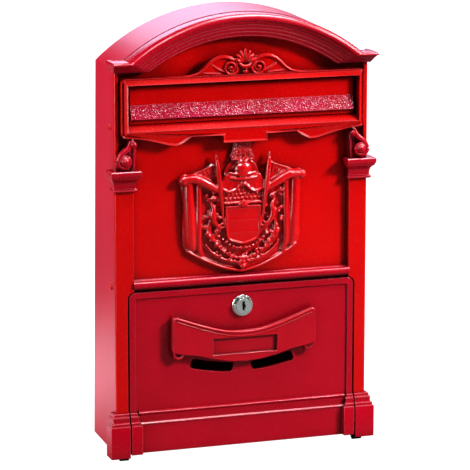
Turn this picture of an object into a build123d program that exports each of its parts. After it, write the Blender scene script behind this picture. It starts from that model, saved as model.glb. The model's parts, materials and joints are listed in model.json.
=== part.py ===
from build123d import *
import os
from math import atan, cos, sin, sqrt

# Wall mailbox with a cast aluminium front on a folded sheet box.
#
# Frame: the origin is on the wall plane, at the centre of the four fixing holes. +X is to the
# right seen from the front, +Y goes into the wall and +Z is up, so the front faces -Y.
# The front leans back: the box is deeper at its foot than at its eaves.
# Heights are measured from the underside of the plinth, along Z for the sheet box and along the
# leaning front for everything cast. "Out" is the distance in front of the pilasters' faces.

# --- driving dimensions, in millimetres ---------------------------------------------------------

# sheet box
BODY_WIDTH = 246.0
EAVE_HEIGHT = 360.4
ROOF_RISE = 49.2            # the arched roof's top above the eaves
BODY_FOOT = 2.0             # the sheet stops this far above the plinth's underside
DEPTH_FOOT = 76.0           # wall to pilaster face at the foot
DEPTH_EAVE = 59.1           # and at the eaves
SHEET = 1.5
FLANGE = 12.0
PAN_LIP = 12.0
PAN_SETBACK = 14.0          # the floor pan stops this far behind the pilaster faces

# rivets of the back plate, and screws through the sides into the casting
RIVET_RADIUS = 1.6
RIVET_HEAD = 3.0
RIVET_HEAD_HEIGHT = 1.2
SCREW_RADIUS = 1.5
SCREW_HEAD = 3.1
SCREW_HEAD_HEIGHT = 1.3
SCREW_SETBACK = 12.0
SCREW_DROP = 52.9           # upper screws below the eaves
SCREW_LOWER = 160.0
SCREW_LENGTH = 7.0
SCREW_FLANGE = 3.0

# wall fixing
HOLE_SPACING_X = 170.0
HOLE_SPACING_Z = 220.0
HOLE_RADIUS = 2.75
HOLE_ROW = 60.0             # lower holes above the plinth's underside

# casting
PANEL_FACE = -6.0
PANEL_THICKNESS = 3.5
EDGE_LIP = 2.5
PILASTER_WIDTH = 18.0
PLINTH_HEIGHT = 30.2
PLINTH_OUT = 6.3
PLINTH_BLOCK = 10.4         # width of the door's half of each plinth block
PLINTH_OVERHANG = 7.0
RETURN_DEPTH = 10.0
CAPITAL_DROP = 35.4         # capitals' tops below the letter slot
CAPITAL_HEIGHT = 20.0
CAPITAL_OUT = 9.7
CAPITAL_OVERHANG = 5.5
CAPITAL_LAP = 5.0           # how far a capital laps over the panel
CORNICE_OUT = 16.8
CORNICE_OVERHANG = 4.5
CORNICE_DEPTH = 22.0        # height of the stepped moulding at the centre
CORNICE_STEPS = ((0.0, 5.0, 0.95), (5.0, 9.0, 0.75), (9.0, 13.0, 0.5), (13.0, CORNICE_OUT, 0.27))
SHOULDER_RISE = 9.2         # the cornice's flat ends above the eaves
SHOULDER_LENGTH = 18.5
SHOULDER_THICKNESS = 7.0
FILLET_THICKNESS = 5.0      # smaller band under each flat end
LEDGE_GAP = 4.0             # ledge above the door's top edge
LEDGE_THICKNESS = 6.0
LEDGE_OUT = 2.5
BRACKET_OUT = 5.0

# letter slot and its surround
SLOT_MARGIN = 11.3          # box side to the slot's end
SLOT_DROP = 12.9            # slot's top below the eaves
SLOT_HEIGHT = 42.6
SILL_RISE = 5.9
SURROUND_OUT = 8.3
SURROUND_MARGIN = 4.0
SURROUND_RAIL = 6.0
SURROUND_BLOCK_DROP = 13.4  # middle block's foot below the slot
MOUTH_MARGIN = 7.7
MOUTH_SILL = 8.6
MOUTH_HEAD = 9.5
FLAP_END_GAP = 3.7
FLAP_THICKNESS = 2.5
FLAP_GRIP = 3.4
GRIP_RISE = 10.4            # grip ledge above the slot's foot
GRIP_HEIGHT = 13.7
GRIP_EDGE = 1.2
ROD_DROP = 4.1              # rod below the slot's top
ROD_RADIUS = 1.5
ROD_EMBED = 4.5
BARREL_RADIUS = 2.6
BUFFER_RADIUS = 2.0
CLIP_THICKNESS = 0.8

# crest, drawn 125 mm high and scaled to fill the panel between the ledge and the surround
CREST_GAP = 0.75
CREST_DRAWN = 125.0
CREST_DRAWN_FOOT = 56.0     # foot below the drawing's centre
CREST_MANTLE = 4.0
CREST_SHIELD = 8.0
CREST_PIN_LENGTH = 6.5
CREST_PIN_RADIUS = 1.5
CREST_PIN_SPREAD = 26.0

# door
DOOR_GAP = 0.8
DOOR_MARGIN = 12.6          # box side to the door's edge
DOOR_TOP = 155.0
DOOR_FOOT = 2.7
DOOR_FACE = -1.5
DOOR_THICKNESS = 3.5
DOOR_BORDER = 6.0
DOOR_CORNER = 6.0
PLINTH_CENTRE_OUT = 0.8
HOOD_OUT = 7.2
HOOD_WALL = 2.6
HOOD_HALF = 70.0
HOOD_TOP = 130.0
HOOD_FOOT = 95.5
HOOD_SAG_TOP = 17.0         # the hood's edges sag this far from its ends to its middle
HOOD_SAG_FOOT = 11.2
VIEW_SLOT_LENGTH = 42.3
VIEW_SLOT_HEIGHT = 8.3
VIEW_SLOT_ANGLE = 8.0
VIEW_SLOT_CENTRE = (29.5, 80.5)
HINGE_HEIGHT = 4.5
HINGE_OUT = -3.0
HINGE_PIN_RADIUS = 2.0
HINGE_PIN_EMBED = 8.0       # how far a pin reaches into the door's end
BUSH_WIDTH = 8.0
BUSH_RADIUS = 4.5
BUSH_FOOT = -4.0
BUSH_TOP = 10.0
BUSH_WALL = 1.5             # closed end of a bush

# lock
LOCK_HEIGHT = 135.7
LOCK_FLANGE_RADIUS = 10.2
LOCK_FLANGE = 1.8
LOCK_RING_RADIUS = 8.9
LOCK_PROUD = 3.7
PLUG_PROUD = 0.6
BARREL_LOCK_RADIUS = 8.0
LOCK_LENGTH = 16.1          # from the door's face to the back of the lock body
PLUG_HEAD_RADIUS = 7.4
PLUG_RADIUS = 5.5
TAIL_RADIUS = 3.2
TAIL_FLATS = 4.6
CAM_LENGTH = 30.0
CAM_WIDTH = 13.0
CAM_THICKNESS = 2.0
NUT_FLATS = 22.0
NUT_HEIGHT = 5.0
CAM_SCREW_RADIUS = 1.25
CAM_SCREW_HEAD = 3.0
CAM_SCREW_HEAD_HEIGHT = 2.0
CAM_SCREW_LENGTH = 7.0
CAM_WASHER_RADIUS = 5.0
KEYWAY_WIDTH = 1.4
KEYWAY_HEIGHT = 8.0
KEEPER_HALF = 24.0
KEEPER_THICKNESS = 3.0
KEEPER_GAP = 0.3            # between the turned cam and the keeper rib

# clearances
SHEET_GAP = 0.3
RUNNING = 0.05
SEAT = 0.02
LOOSE = 0.1

# --- derived places -----------------------------------------------------------------------------

HALF = BODY_WIDTH / 2
ROOF_RADIUS = (HALF**2 + ROOF_RISE**2) / (2 * ROOF_RISE)
ROOF_CENTRE = EAVE_HEIGHT + ROOF_RISE - ROOF_RADIUS
LEAN = atan((DEPTH_FOOT - DEPTH_EAVE) / EAVE_HEIGHT)
FOOT = -(HOLE_ROW + HOLE_SPACING_Z / 2)
PANEL_BACK = PANEL_FACE - PANEL_THICKNESS
SHOULDER_TOP = EAVE_HEIGHT + SHOULDER_RISE
SHOULDER_INNER = HALF - SHOULDER_LENGTH
SLOT_HALF = HALF - SLOT_MARGIN
SLOT_TOP = EAVE_HEIGHT - SLOT_DROP
SLOT_FOOT = SLOT_TOP - SLOT_HEIGHT
SURROUND_HALF = HALF - SURROUND_MARGIN
SURROUND_TOP = SLOT_TOP + SURROUND_RAIL
CAPITAL_TOP = SLOT_FOOT - CAPITAL_DROP
CAPITAL_INNER = HALF - PILASTER_WIDTH - CAPITAL_LAP
MOUTH_HALF = SLOT_HALF - MOUTH_MARGIN
MOUTH_FOOT = SLOT_FOOT + MOUTH_SILL
MOUTH_TOP = SLOT_TOP - MOUTH_HEAD
FLAP_HALF = SLOT_HALF - FLAP_END_GAP
GRIP_FOOT = SLOT_FOOT + GRIP_RISE
ROD_HEIGHT = SLOT_TOP - ROD_DROP
DOOR_HALF = HALF - DOOR_MARGIN
DOOR_BACK = DOOR_FACE - DOOR_THICKNESS
PLINTH_INNER = DOOR_HALF - PLINTH_BLOCK
BUSH_INNER = DOOR_HALF + DOOR_GAP + SHEET_GAP
LEDGE_FOOT = DOOR_TOP + LEDGE_GAP
CREST_FOOT = LEDGE_FOOT + LEDGE_THICKNESS + CREST_GAP
CREST_SCALE = (SLOT_FOOT - SURROUND_BLOCK_DROP - CREST_GAP - CREST_FOOT) / CREST_DRAWN
CREST_CENTRE = CREST_FOOT + CREST_DRAWN_FOOT * CREST_SCALE
LOCK_BACK = DOOR_FACE - LOCK_LENGTH
CAM_FACE = LOCK_BACK - 0.5
PLUG_STEP = DOOR_FACE + 1.0
FAR = 3 * DEPTH_FOOT

wall = Plane(origin=(0, 0, FOOT), x_dir=(1, 0, 0), z_dir=(0, -1, 0))
front = Plane(origin=(0, -DEPTH_FOOT, FOOT), x_dir=(1, 0, 0), z_dir=(0, -cos(LEAN), sin(LEAN)))
profile = Plane(origin=front.origin, x_dir=front.z_dir, z_dir=(-1, 0, 0))

os.makedirs("parts", exist_ok=True)


def write(piece, name):
    """Label a finished piece and write its STEP file."""
    piece.part.label = name
    export_step(piece.part, f"parts/{name}.step")


def across(x):
    """The profile plane moved to x, with its sketches in (out, height)."""
    return profile.offset(-x)


def up_front(out, height):
    """A plane parallel to the front, with its origin on the middle line at a height and an out."""
    middle = front.offset(out).from_local_coords((0, height, 0))
    return Plane(origin=middle, x_dir=(1, 0, 0), z_dir=front.z_dir)


# --- shapes shared by the box and the casting ---------------------------------------------------

def body_outline(inset, foot=BODY_FOOT):
    """The box seen from the front: straight sides under an arched roof, moved in by inset."""
    half = HALF - inset
    radius = ROOF_RADIUS - inset
    eave = ROOF_CENTRE + sqrt(radius**2 - half**2)
    with BuildSketch(wall) as outline:
        with BuildLine():
            Polyline((-half, eave), (-half, foot), (half, foot), (half, eave))
            ThreePointArc((-half, eave), (0, ROOF_CENTRE + radius), (half, eave))
        make_face()
    return outline.sketch


def body_slab(inset, low, high, foot=BODY_FOOT):
    """The box's outline between two planes parallel to the front, at the outs low and high."""
    with BuildPart() as slab:
        extrude(body_outline(inset, foot), amount=FAR)
        split(bisect_by=front.offset(high), keep=Keep.BOTTOM)
        split(bisect_by=front.offset(low), keep=Keep.TOP)
    return slab.part


def under_arch(drop):
    """Everything below the cornice's moulding line that lies drop under its top edge."""
    radius = ROOF_RADIUS - drop
    flat = SHOULDER_TOP - drop * (SHOULDER_TOP - EAVE_HEIGHT + SHEET) / CORNICE_DEPTH
    knee = sqrt(radius**2 - (flat - ROOF_CENTRE)**2)
    with BuildSketch(Plane.XY) as region:
        with BuildLine():
            Polyline((-knee, flat), (-2 * HALF, flat), (-2 * HALF, -FAR), (2 * HALF, -FAR),
                     (2 * HALF, flat), (knee, flat))
            ThreePointArc((-knee, flat), (0, ROOF_CENTRE + radius), (knee, flat))
        make_face()
    return region.sketch


# --- sheet box ----------------------------------------------------------------------------------

def make_box_wrap():
    """Sides and arched roof folded from one sheet, with rear flanges for the back plate."""
    rim = front.offset(-EDGE_LIP)
    with BuildPart() as box_wrap:
        extrude(body_outline(0), amount=FAR)
        extrude(body_outline(SHEET, BODY_FOOT - SHEET), amount=FAR, mode=Mode.SUBTRACT)
        split(bisect_by=rim, keep=Keep.BOTTOM)
        split(bisect_by=wall.offset(SHEET), keep=Keep.TOP)
        for side in (-1, 1):
            middle = side * (HALF - SHEET - FLANGE / 2)
            with BuildSketch(wall.offset(SHEET)):
                with Locations((middle, EAVE_HEIGHT / 2)):
                    Rectangle(FLANGE, EAVE_HEIGHT - 2 * FLANGE)
            extrude(amount=SHEET)
        with BuildSketch(wall):
            with Locations(*rivet_places()):
                Circle(RIVET_RADIUS + SEAT)
        extrude(amount=FAR / 4, mode=Mode.SUBTRACT)
        for side in (-1, 1):
            with BuildSketch(Plane.YZ.offset(side * (HALF - SHEET / 2))):
                with Locations(*screw_places()):
                    Circle(SCREW_RADIUS + LOOSE)
            extrude(amount=SHEET, both=True, mode=Mode.SUBTRACT)
    write(box_wrap, "box_wrap")


def rivet_places():
    """Four rivets down each rear flange, in wall coordinates."""
    column = HALF - SHEET - FLANGE / 2
    rows = [FLANGE * 3 + row * (EAVE_HEIGHT - 6 * FLANGE) / 3 for row in range(4)]
    return [(side * column, row) for side in (-1, 1) for row in rows]


def screw_places():
    """The side screws' centres as (y, z) pairs, a fixed way behind the leaning front edge."""
    places = []
    for height in (EAVE_HEIGHT - SCREW_DROP, SCREW_LOWER):
        y = -DEPTH_FOOT + height * sin(LEAN) + SCREW_SETBACK * cos(LEAN)
        z = FOOT + height * cos(LEAN) - SCREW_SETBACK * sin(LEAN)
        places.append((y, z))
    return places


def make_back_panel():
    """Flat back plate against the wall, with the four fixing holes and the rivet holes."""
    with BuildPart() as back_panel:
        extrude(body_outline(0), amount=SHEET)
        with BuildSketch(wall):
            with Locations((0, -FOOT)):
                with GridLocations(HOLE_SPACING_X, HOLE_SPACING_Z, 2, 2):
                    Circle(HOLE_RADIUS)
            with Locations(*rivet_places()):
                Circle(RIVET_RADIUS + SEAT)
        extrude(amount=SHEET, mode=Mode.SUBTRACT)
    write(back_panel, "back_panel")


def make_back_rivets():
    """Rivets through the back plate and the flanges, flush on the wall side."""
    with BuildPart() as back_rivets:
        with BuildSketch(wall):
            with Locations(*rivet_places()):
                Circle(RIVET_RADIUS)
        extrude(amount=2 * SHEET)
        with BuildSketch(wall.offset(2 * SHEET)):
            with Locations(*rivet_places()):
                Circle(RIVET_HEAD)
        extrude(amount=RIVET_HEAD_HEIGHT, taper=20)
    write(back_rivets, "back_rivets")


def make_floor_pan():
    """Floor tray welded between the sides, turned up at its sides and at its front edge."""
    half = HALF - SHEET
    depth = DEPTH_FOOT - PAN_SETBACK
    rear = 2 * SHEET
    floor = Plane.XY.offset(FOOT + BODY_FOOT)
    with BuildPart() as floor_pan:
        with BuildSketch(floor):
            with Locations((0, -(depth + rear) / 2)):
                Rectangle(2 * half, depth - rear)
        extrude(amount=PAN_LIP)
        with BuildSketch(floor.offset(SHEET)):
            with Locations((0, -(depth + rear) / 2 + SHEET)):
                Rectangle(2 * (half - SHEET), depth - rear)
        extrude(amount=PAN_LIP, mode=Mode.SUBTRACT)
    write(floor_pan, "floor_pan")


def make_side_screws():
    """Pan-head screws through the sheet into the casting's side flanges."""
    with BuildPart() as side_screws:
        for side in (-1, 1):
            inner = side * (HALF - SCREW_LENGTH)
            with BuildSketch(Plane.YZ.offset(inner)):
                with Locations(*screw_places()):
                    Circle(SCREW_RADIUS)
            extrude(amount=side * SCREW_LENGTH)
            with BuildSketch(Plane.YZ.offset(side * HALF)):
                with Locations(*screw_places()):
                    Circle(SCREW_HEAD)
            extrude(amount=side * SCREW_HEAD_HEIGHT, taper=25)
    write(side_screws, "side_screws")


# --- cast front ---------------------------------------------------------------------------------

def surround_outline():
    """Letter-slot surround: a long frame with a scrolled crest above and a draped edge below."""
    with BuildSketch(Plane.XY) as outline:
        with BuildLine():
            foot = SLOT_FOOT - SURROUND_BLOCK_DROP
            drape = SLOT_FOOT - SURROUND_BLOCK_DROP / 2
            outer = SURROUND_HALF
            top = SURROUND_TOP
            Polyline((0, foot), (21, foot), (21, drape), (51, drape))
            Spline((51, drape), (64, foot - 0.9), (81, foot + 2.3), (outer - 19, drape),
                   (outer - 2.5, drape + 1.6))
            Polyline((outer - 2.5, drape + 1.6), (outer, drape + 4.5), (outer, top - 4),
                     (outer - 4, top), (47, top))
            Spline((47, top), (40, top + 4.0), (33, top + 11.5), (21, top + 16.7), (12, top + 18.2))
            ThreePointArc((12, top + 18.2), (6.5, top + 21.7), (0, top + 23.1))
            mirror(about=Plane.YZ)
        make_face()
    return outline.sketch


def bracket_outline(side):
    """Scroll bracket that stands on a capital and carries the end of the surround."""
    with BuildSketch(Plane.XY) as outline:
        rise = CAPITAL_DROP - 5.0
        with Locations((side * (HALF - 9.0), CAPITAL_TOP + 7.5)):
            Circle(7.0)
        with Locations((side * (HALF - 16.0), CAPITAL_TOP + rise - 6.5)):
            Circle(4.5)
        with BuildLine():
            inner = side * (HALF - 20.0)
            Polyline((inner, CAPITAL_TOP), (side * (HALF - 5.0), CAPITAL_TOP),
                     (side * (HALF - 2.5), CAPITAL_TOP + 9.5),
                     (side * (HALF - 9.0), CAPITAL_TOP + 0.67 * rise),
                     (side * (HALF - 12.0), CAPITAL_TOP + rise),
                     (inner, CAPITAL_TOP + rise), close=True)
        make_face()
    return outline.sketch


def capital_tiers():
    """A capital's astragal, bell and abacus: low, high, out, side overhang and inner edge."""
    foot = CAPITAL_TOP - CAPITAL_HEIGHT
    return [
        (foot, foot + 2.6, CAPITAL_OUT - 5.2, CAPITAL_OVERHANG - 3.2, CAPITAL_INNER + 4.2),
        (foot + 2.6, foot + 14.0, CAPITAL_OUT - 3.7, CAPITAL_OVERHANG - 2.1, CAPITAL_INNER + 2.6),
        (foot + 14.0, CAPITAL_TOP, CAPITAL_OUT, CAPITAL_OVERHANG, CAPITAL_INNER),
    ]


def plinth_tiers():
    """The plinth block from the foot up: low, high, out, overhang beyond the box's side."""
    top = PLINTH_HEIGHT
    return [
        (0.0, top, PLINTH_OUT, PLINTH_OVERHANG),
        (top, top + 3.1, PLINTH_OUT - 1.1, PLINTH_OVERHANG - 1.1),
        (top + 3.1, top + 8.8, PLINTH_OUT - 2.5, PLINTH_OVERHANG - 2.5),
        (top + 8.8, top + 11.8, PLINTH_OUT - 4.0, PLINTH_OVERHANG - 4.0),
    ]


def bush_outline(gap):
    """Side view of a hinge bush: a slot-shaped block with its round end below the plinth."""
    radius = BUSH_RADIUS + gap
    with BuildSketch(Plane.XY) as outline:
        with BuildLine():
            foot = BUSH_FOOT + BUSH_RADIUS
            Polyline((HINGE_OUT + radius, foot), (HINGE_OUT + radius, BUSH_TOP + gap),
                     (HINGE_OUT - radius, BUSH_TOP + gap), (HINGE_OUT - radius, foot))
            ThreePointArc((HINGE_OUT - radius, foot), (HINGE_OUT, foot - radius),
                          (HINGE_OUT + radius, foot))
        make_face()
    return outline.sketch


def make_front_frame():
    """Cast front: plinth, pilasters, capitals, brackets, slot surround and arched cornice."""
    envelope = body_slab(-SHEET_GAP, -FAR / 4, -EDGE_LIP, BODY_FOOT - SHEET_GAP)
    web = body_slab(SHEET + SHEET_GAP, PANEL_BACK, -EDGE_LIP)
    lip = body_slab(0, -EDGE_LIP, 0)
    nose = body_slab(0, 0, CORNICE_OUT)
    field = 2 * (HALF - PILASTER_WIDTH)
    door_width = 2 * (DOOR_HALF + DOOR_GAP)
    door_height = DOOR_TOP + DOOR_GAP
    flange_foot = BODY_FOOT + PAN_LIP + 3.0
    fillet_height = SHOULDER_TOP - SHOULDER_THICKNESS - FILLET_THICKNESS / 2
    with BuildPart() as front_frame:
        # arched cornice, its underside cut back in steps
        add(nose)
        for low, high, share in CORNICE_STEPS:
            with BuildSketch(front.offset(low)):
                add(under_arch(share * CORNICE_DEPTH))
            extrude(amount=high - low, mode=Mode.SUBTRACT)
        # blocks that overhang the box: shoulders, capitals and plinth
        for side in (-1, 1):
            outer = HALF + CORNICE_OVERHANG
            middle = side * (outer + SHOULDER_INNER) / 2
            with BuildSketch(front.offset(-RETURN_DEPTH)):
                with Locations((middle, SHOULDER_TOP - SHOULDER_THICKNESS / 2)):
                    Rectangle(outer - SHOULDER_INNER, SHOULDER_THICKNESS)
            extrude(amount=RETURN_DEPTH + CORNICE_OUT)
            with BuildSketch(front.offset(-RETURN_DEPTH)):
                with Locations((middle - side, fillet_height)):
                    Rectangle(outer - SHOULDER_INNER - 2, FILLET_THICKNESS)
            extrude(amount=RETURN_DEPTH + CORNICE_OUT / 2)
            for low, high, out, overhang, inner in capital_tiers():
                outer = HALF + overhang
                with BuildSketch(front.offset(-RETURN_DEPTH)):
                    with Locations((side * (outer + inner) / 2, (low + high) / 2)):
                        Rectangle(outer - inner, high - low)
                extrude(amount=RETURN_DEPTH + out)
            for low, high, out, overhang in plinth_tiers():
                outer = HALF + overhang
                inner = DOOR_HALF + DOOR_GAP
                with BuildSketch(front.offset(-RETURN_DEPTH)):
                    with Locations((side * (outer + inner) / 2, (low + high) / 2)):
                        Rectangle(outer - inner, high - low)
                extrude(amount=RETURN_DEPTH + out)
        add(envelope, mode=Mode.SUBTRACT)
        # web and pilasters inside the sheet, and the lip that covers the sheet's front edge
        add(web)
        add(lip)
        with BuildSketch(front.offset(PANEL_FACE)):
            with Locations((0, CAPITAL_TOP / 2)):
                Rectangle(field, CAPITAL_TOP)
        extrude(amount=-PANEL_FACE, mode=Mode.SUBTRACT)
        with BuildSketch(front.offset(PANEL_FACE)):
            add(under_arch(CORNICE_STEPS[0][2] * CORNICE_DEPTH))
            with Locations((0, CAPITAL_TOP + EAVE_HEIGHT / 2)):
                Rectangle(2 * SURROUND_HALF, EAVE_HEIGHT, mode=Mode.INTERSECT)
        extrude(amount=-PANEL_FACE, mode=Mode.SUBTRACT)
        # flanges that the side screws bite into
        for side in (-1, 1):
            column = side * (HALF - SHEET - SHEET_GAP - SCREW_FLANGE / 2)
            with BuildSketch(front.offset(PANEL_BACK)):
                with Locations((column, (EAVE_HEIGHT - FLANGE + flange_foot) / 2)):
                    Rectangle(SCREW_FLANGE, EAVE_HEIGHT - FLANGE - flange_foot)
            extrude(amount=-FLANGE)
        # surround, brackets and the ledge over the door
        with BuildSketch(front.offset(PANEL_FACE)):
            add(surround_outline())
        extrude(amount=SURROUND_OUT - PANEL_FACE)
        with BuildSketch(front.offset(PANEL_FACE)):
            for side in (-1, 1):
                add(bracket_outline(side))
        extrude(amount=BRACKET_OUT - PANEL_FACE)
        with BuildSketch(front.offset(PANEL_FACE)):
            with Locations((0, LEDGE_FOOT + LEDGE_THICKNESS / 2)):
                Rectangle(field, LEDGE_THICKNESS)
        extrude(amount=LEDGE_OUT - PANEL_FACE)
        # keeper rib for the lock's cam
        with BuildSketch(front.offset(PANEL_BACK)):
            with Locations((0, door_height + KEEPER_THICKNESS)):
                Rectangle(2 * KEEPER_HALF, KEEPER_THICKNESS)
        extrude(amount=CAM_FACE + KEEPER_GAP - PANEL_BACK)
        # recess with its sloping sill, and the mouth behind the flap
        with BuildSketch(across(0)):
            with BuildLine():
                Polyline((PANEL_FACE, SLOT_FOOT + SILL_RISE), (0, SLOT_FOOT + SILL_RISE),
                         (SURROUND_OUT, SLOT_FOOT), (3 * SURROUND_OUT, SLOT_FOOT - SILL_RISE),
                         (3 * SURROUND_OUT, SLOT_TOP), (PANEL_FACE, SLOT_TOP), close=True)
            make_face()
        extrude(amount=SLOT_HALF, both=True, mode=Mode.SUBTRACT)
        with BuildSketch(front.offset(PANEL_BACK)):
            with Locations((0, (MOUTH_FOOT + MOUTH_TOP) / 2)):
                Rectangle(2 * MOUTH_HALF, MOUTH_TOP - MOUTH_FOOT)
        extrude(amount=PANEL_THICKNESS, mode=Mode.SUBTRACT)
        # door opening
        with BuildSketch(front.offset(-FAR / 4)):
            with Locations((0, door_height / 2 - DOOR_CORNER)):
                Rectangle(door_width, door_height + 2 * DOOR_CORNER)
            fillet(vertices().group_by(Axis.Y)[-1], DOOR_CORNER + DOOR_GAP)
        extrude(amount=FAR, mode=Mode.SUBTRACT)
        # holes for the flap's rod, the hinge bushes, the side screws, the buffers and the crest
        with BuildSketch(across(0)):
            with Locations((rod_out(), ROD_HEIGHT)):
                Circle(ROD_RADIUS + SEAT)
        extrude(amount=SLOT_HALF + ROD_EMBED, both=True, mode=Mode.SUBTRACT)
        for side in (-1, 1):
            with BuildSketch(across(side * BUSH_INNER)):
                add(bush_outline(SHEET_GAP))
            extrude(amount=-side * BUSH_WIDTH, mode=Mode.SUBTRACT)
            with BuildSketch(across(side * (DOOR_HALF + DOOR_GAP))):
                with Locations((HINGE_OUT, HINGE_HEIGHT)):
                    Circle(HINGE_PIN_RADIUS + LOOSE)
            extrude(amount=-side, mode=Mode.SUBTRACT)
            with BuildSketch(Plane.YZ.offset(side * (HALF - SCREW_LENGTH))):
                with Locations(*screw_places()):
                    Circle(SCREW_RADIUS + SEAT)
            extrude(amount=side * (SCREW_LENGTH - SHEET), mode=Mode.SUBTRACT)
        with BuildSketch(front.offset(PANEL_BACK)):
            with Locations(*buffer_places()):
                Circle(BUFFER_RADIUS / 2 + SEAT)
            with Locations(*crest_pins()):
                Circle(CREST_PIN_RADIUS + LOOSE)
        extrude(amount=PANEL_THICKNESS, mode=Mode.SUBTRACT)
    write(front_frame, "front_frame")


def rod_out():
    """The flap rod's place: its barrel is flush with the flap's front face."""
    return -BARREL_RADIUS


def buffer_places():
    """Two buffers under the flap's lower corners, beside the mouth."""
    return [(side * (FLAP_HALF - BUFFER_RADIUS / 2 + 0.5), MOUTH_FOOT + 2.5) for side in (-1, 1)]


def crest_pins():
    """Two pins behind the crest, one above the other."""
    return [(0, CREST_CENTRE + way * CREST_PIN_SPREAD * CREST_SCALE) for way in (-1, 1)]


# --- crest --------------------------------------------------------------------------------------

def make_crest_badge():
    """Applied crest: a plain shield on a mantle, with a domed cap and a plume over it."""
    half = [(0, -56), (16, -51), (33, -44), (50, -36), (56, -27), (55, 3), (57, 33), (44, 40),
            (38, 30), (28, 46), (25, 57), (19, 40), (12, 46), (12, 61), (8, 67.5), (0, 69)]
    face = up_front(PANEL_FACE, CREST_CENTRE)
    with BuildPart() as crest_badge:
        with BuildSketch(face):
            with BuildLine():
                Spline(*[(CREST_SCALE * x, CREST_SCALE * height) for x, height in half])
                mirror(about=Plane.YZ)
            make_face()
        extrude(amount=CREST_MANTLE)
        with BuildSketch(face):
            with Locations((0, -9 * CREST_SCALE)):
                Ellipse(24 * CREST_SCALE, 27 * CREST_SCALE)
            with Locations((0, 40 * CREST_SCALE)):
                Ellipse(15 * CREST_SCALE, 12 * CREST_SCALE)
        extrude(amount=CREST_SHIELD, taper=8)
        with BuildSketch(front.offset(PANEL_FACE)):
            with Locations(*crest_pins()):
                Circle(CREST_PIN_RADIUS)
        extrude(amount=-CREST_PIN_LENGTH)
    write(crest_badge, "crest_badge")


def make_crest_clips():
    """Push-on clips that hold the crest's pins behind the panel."""
    with BuildPart() as crest_clips:
        with BuildSketch(front.offset(PANEL_BACK)):
            with Locations(*crest_pins()):
                Circle(4.0)
            with Locations(*crest_pins()):
                Circle(CREST_PIN_RADIUS + SEAT, mode=Mode.SUBTRACT)
        extrude(amount=-CLIP_THICKNESS)
    write(crest_clips, "crest_clips")


# --- letter flap --------------------------------------------------------------------------------

def make_letter_flap():
    """Flap hung from the rod at its top edge, with a sloping grip ledge along its front."""
    foot = SLOT_FOOT + SILL_RISE + SHEET_GAP
    with BuildPart() as letter_flap:
        with BuildSketch(across(0)):
            with BuildLine():
                Polyline((-FLAP_THICKNESS, foot), (0, foot), (0, GRIP_FOOT), (FLAP_GRIP, GRIP_FOOT),
                         (FLAP_GRIP, GRIP_FOOT + GRIP_EDGE), (0, GRIP_FOOT + GRIP_HEIGHT),
                         (0, ROD_HEIGHT),
                         (-FLAP_THICKNESS, ROD_HEIGHT), close=True)
            make_face()
            with Locations((rod_out(), ROD_HEIGHT)):
                Circle(BARREL_RADIUS)
        extrude(amount=FLAP_HALF, both=True)
        with BuildSketch(across(0)):
            with Locations((rod_out(), ROD_HEIGHT)):
                Circle(ROD_RADIUS + RUNNING)
        extrude(amount=FLAP_HALF, both=True, mode=Mode.SUBTRACT)
    write(letter_flap, "letter_flap")


def make_flap_hinge_rod():
    """Steel rod through the flap's barrel, seated in the surround at both ends."""
    with BuildPart() as flap_hinge_rod:
        with BuildSketch(across(0)):
            with Locations((rod_out(), ROD_HEIGHT)):
                Circle(ROD_RADIUS)
        extrude(amount=SLOT_HALF + ROD_EMBED - SHEET_GAP, both=True)
    write(flap_hinge_rod, "flap_hinge_rod")


def make_flap_rod_clips():
    """Push-on clips that stop the rod sliding, one between each flap end and the surround."""
    with BuildPart() as flap_rod_clips:
        for side in (-1, 1):
            with BuildSketch(across(side * (FLAP_HALF + FLAP_END_GAP / 3))):
                with Locations((rod_out(), ROD_HEIGHT)):
                    Circle(BARREL_RADIUS)
                    Circle(ROD_RADIUS + SEAT, mode=Mode.SUBTRACT)
            extrude(amount=-side)
    write(flap_rod_clips, "flap_rod_clips")


def make_flap_buffers():
    """Rubber buttons that the closed flap rests against."""
    with BuildPart() as flap_buffers:
        with BuildSketch(front.offset(PANEL_BACK)):
            with Locations(*buffer_places()):
                Circle(BUFFER_RADIUS / 2)
        extrude(amount=PANEL_THICKNESS)
        with BuildSketch(front.offset(PANEL_FACE)):
            with Locations(*buffer_places()):
                Circle(BUFFER_RADIUS)
        extrude(amount=-PANEL_FACE - FLAP_THICKNESS - SHEET_GAP)
    write(flap_buffers, "flap_buffers")


# --- door ---------------------------------------------------------------------------------------

def hood_outline(inset, foot_drop):
    """Curved hood over the view slots: a band that sags in the middle, moved in by inset."""
    half = HOOD_HALF - inset
    with BuildSketch(Plane.XY) as outline:
        with BuildLine():
            top = HOOD_TOP - inset
            low = HOOD_FOOT - foot_drop
            ThreePointArc((-half, low), (0, low - HOOD_SAG_FOOT), (half, low))
            Line((half, low), (half, top))
            ThreePointArc((half, top), (0, top - HOOD_SAG_TOP), (-half, top))
            Line((-half, top), (-half, low))
        make_face()
    return outline.sketch


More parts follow.
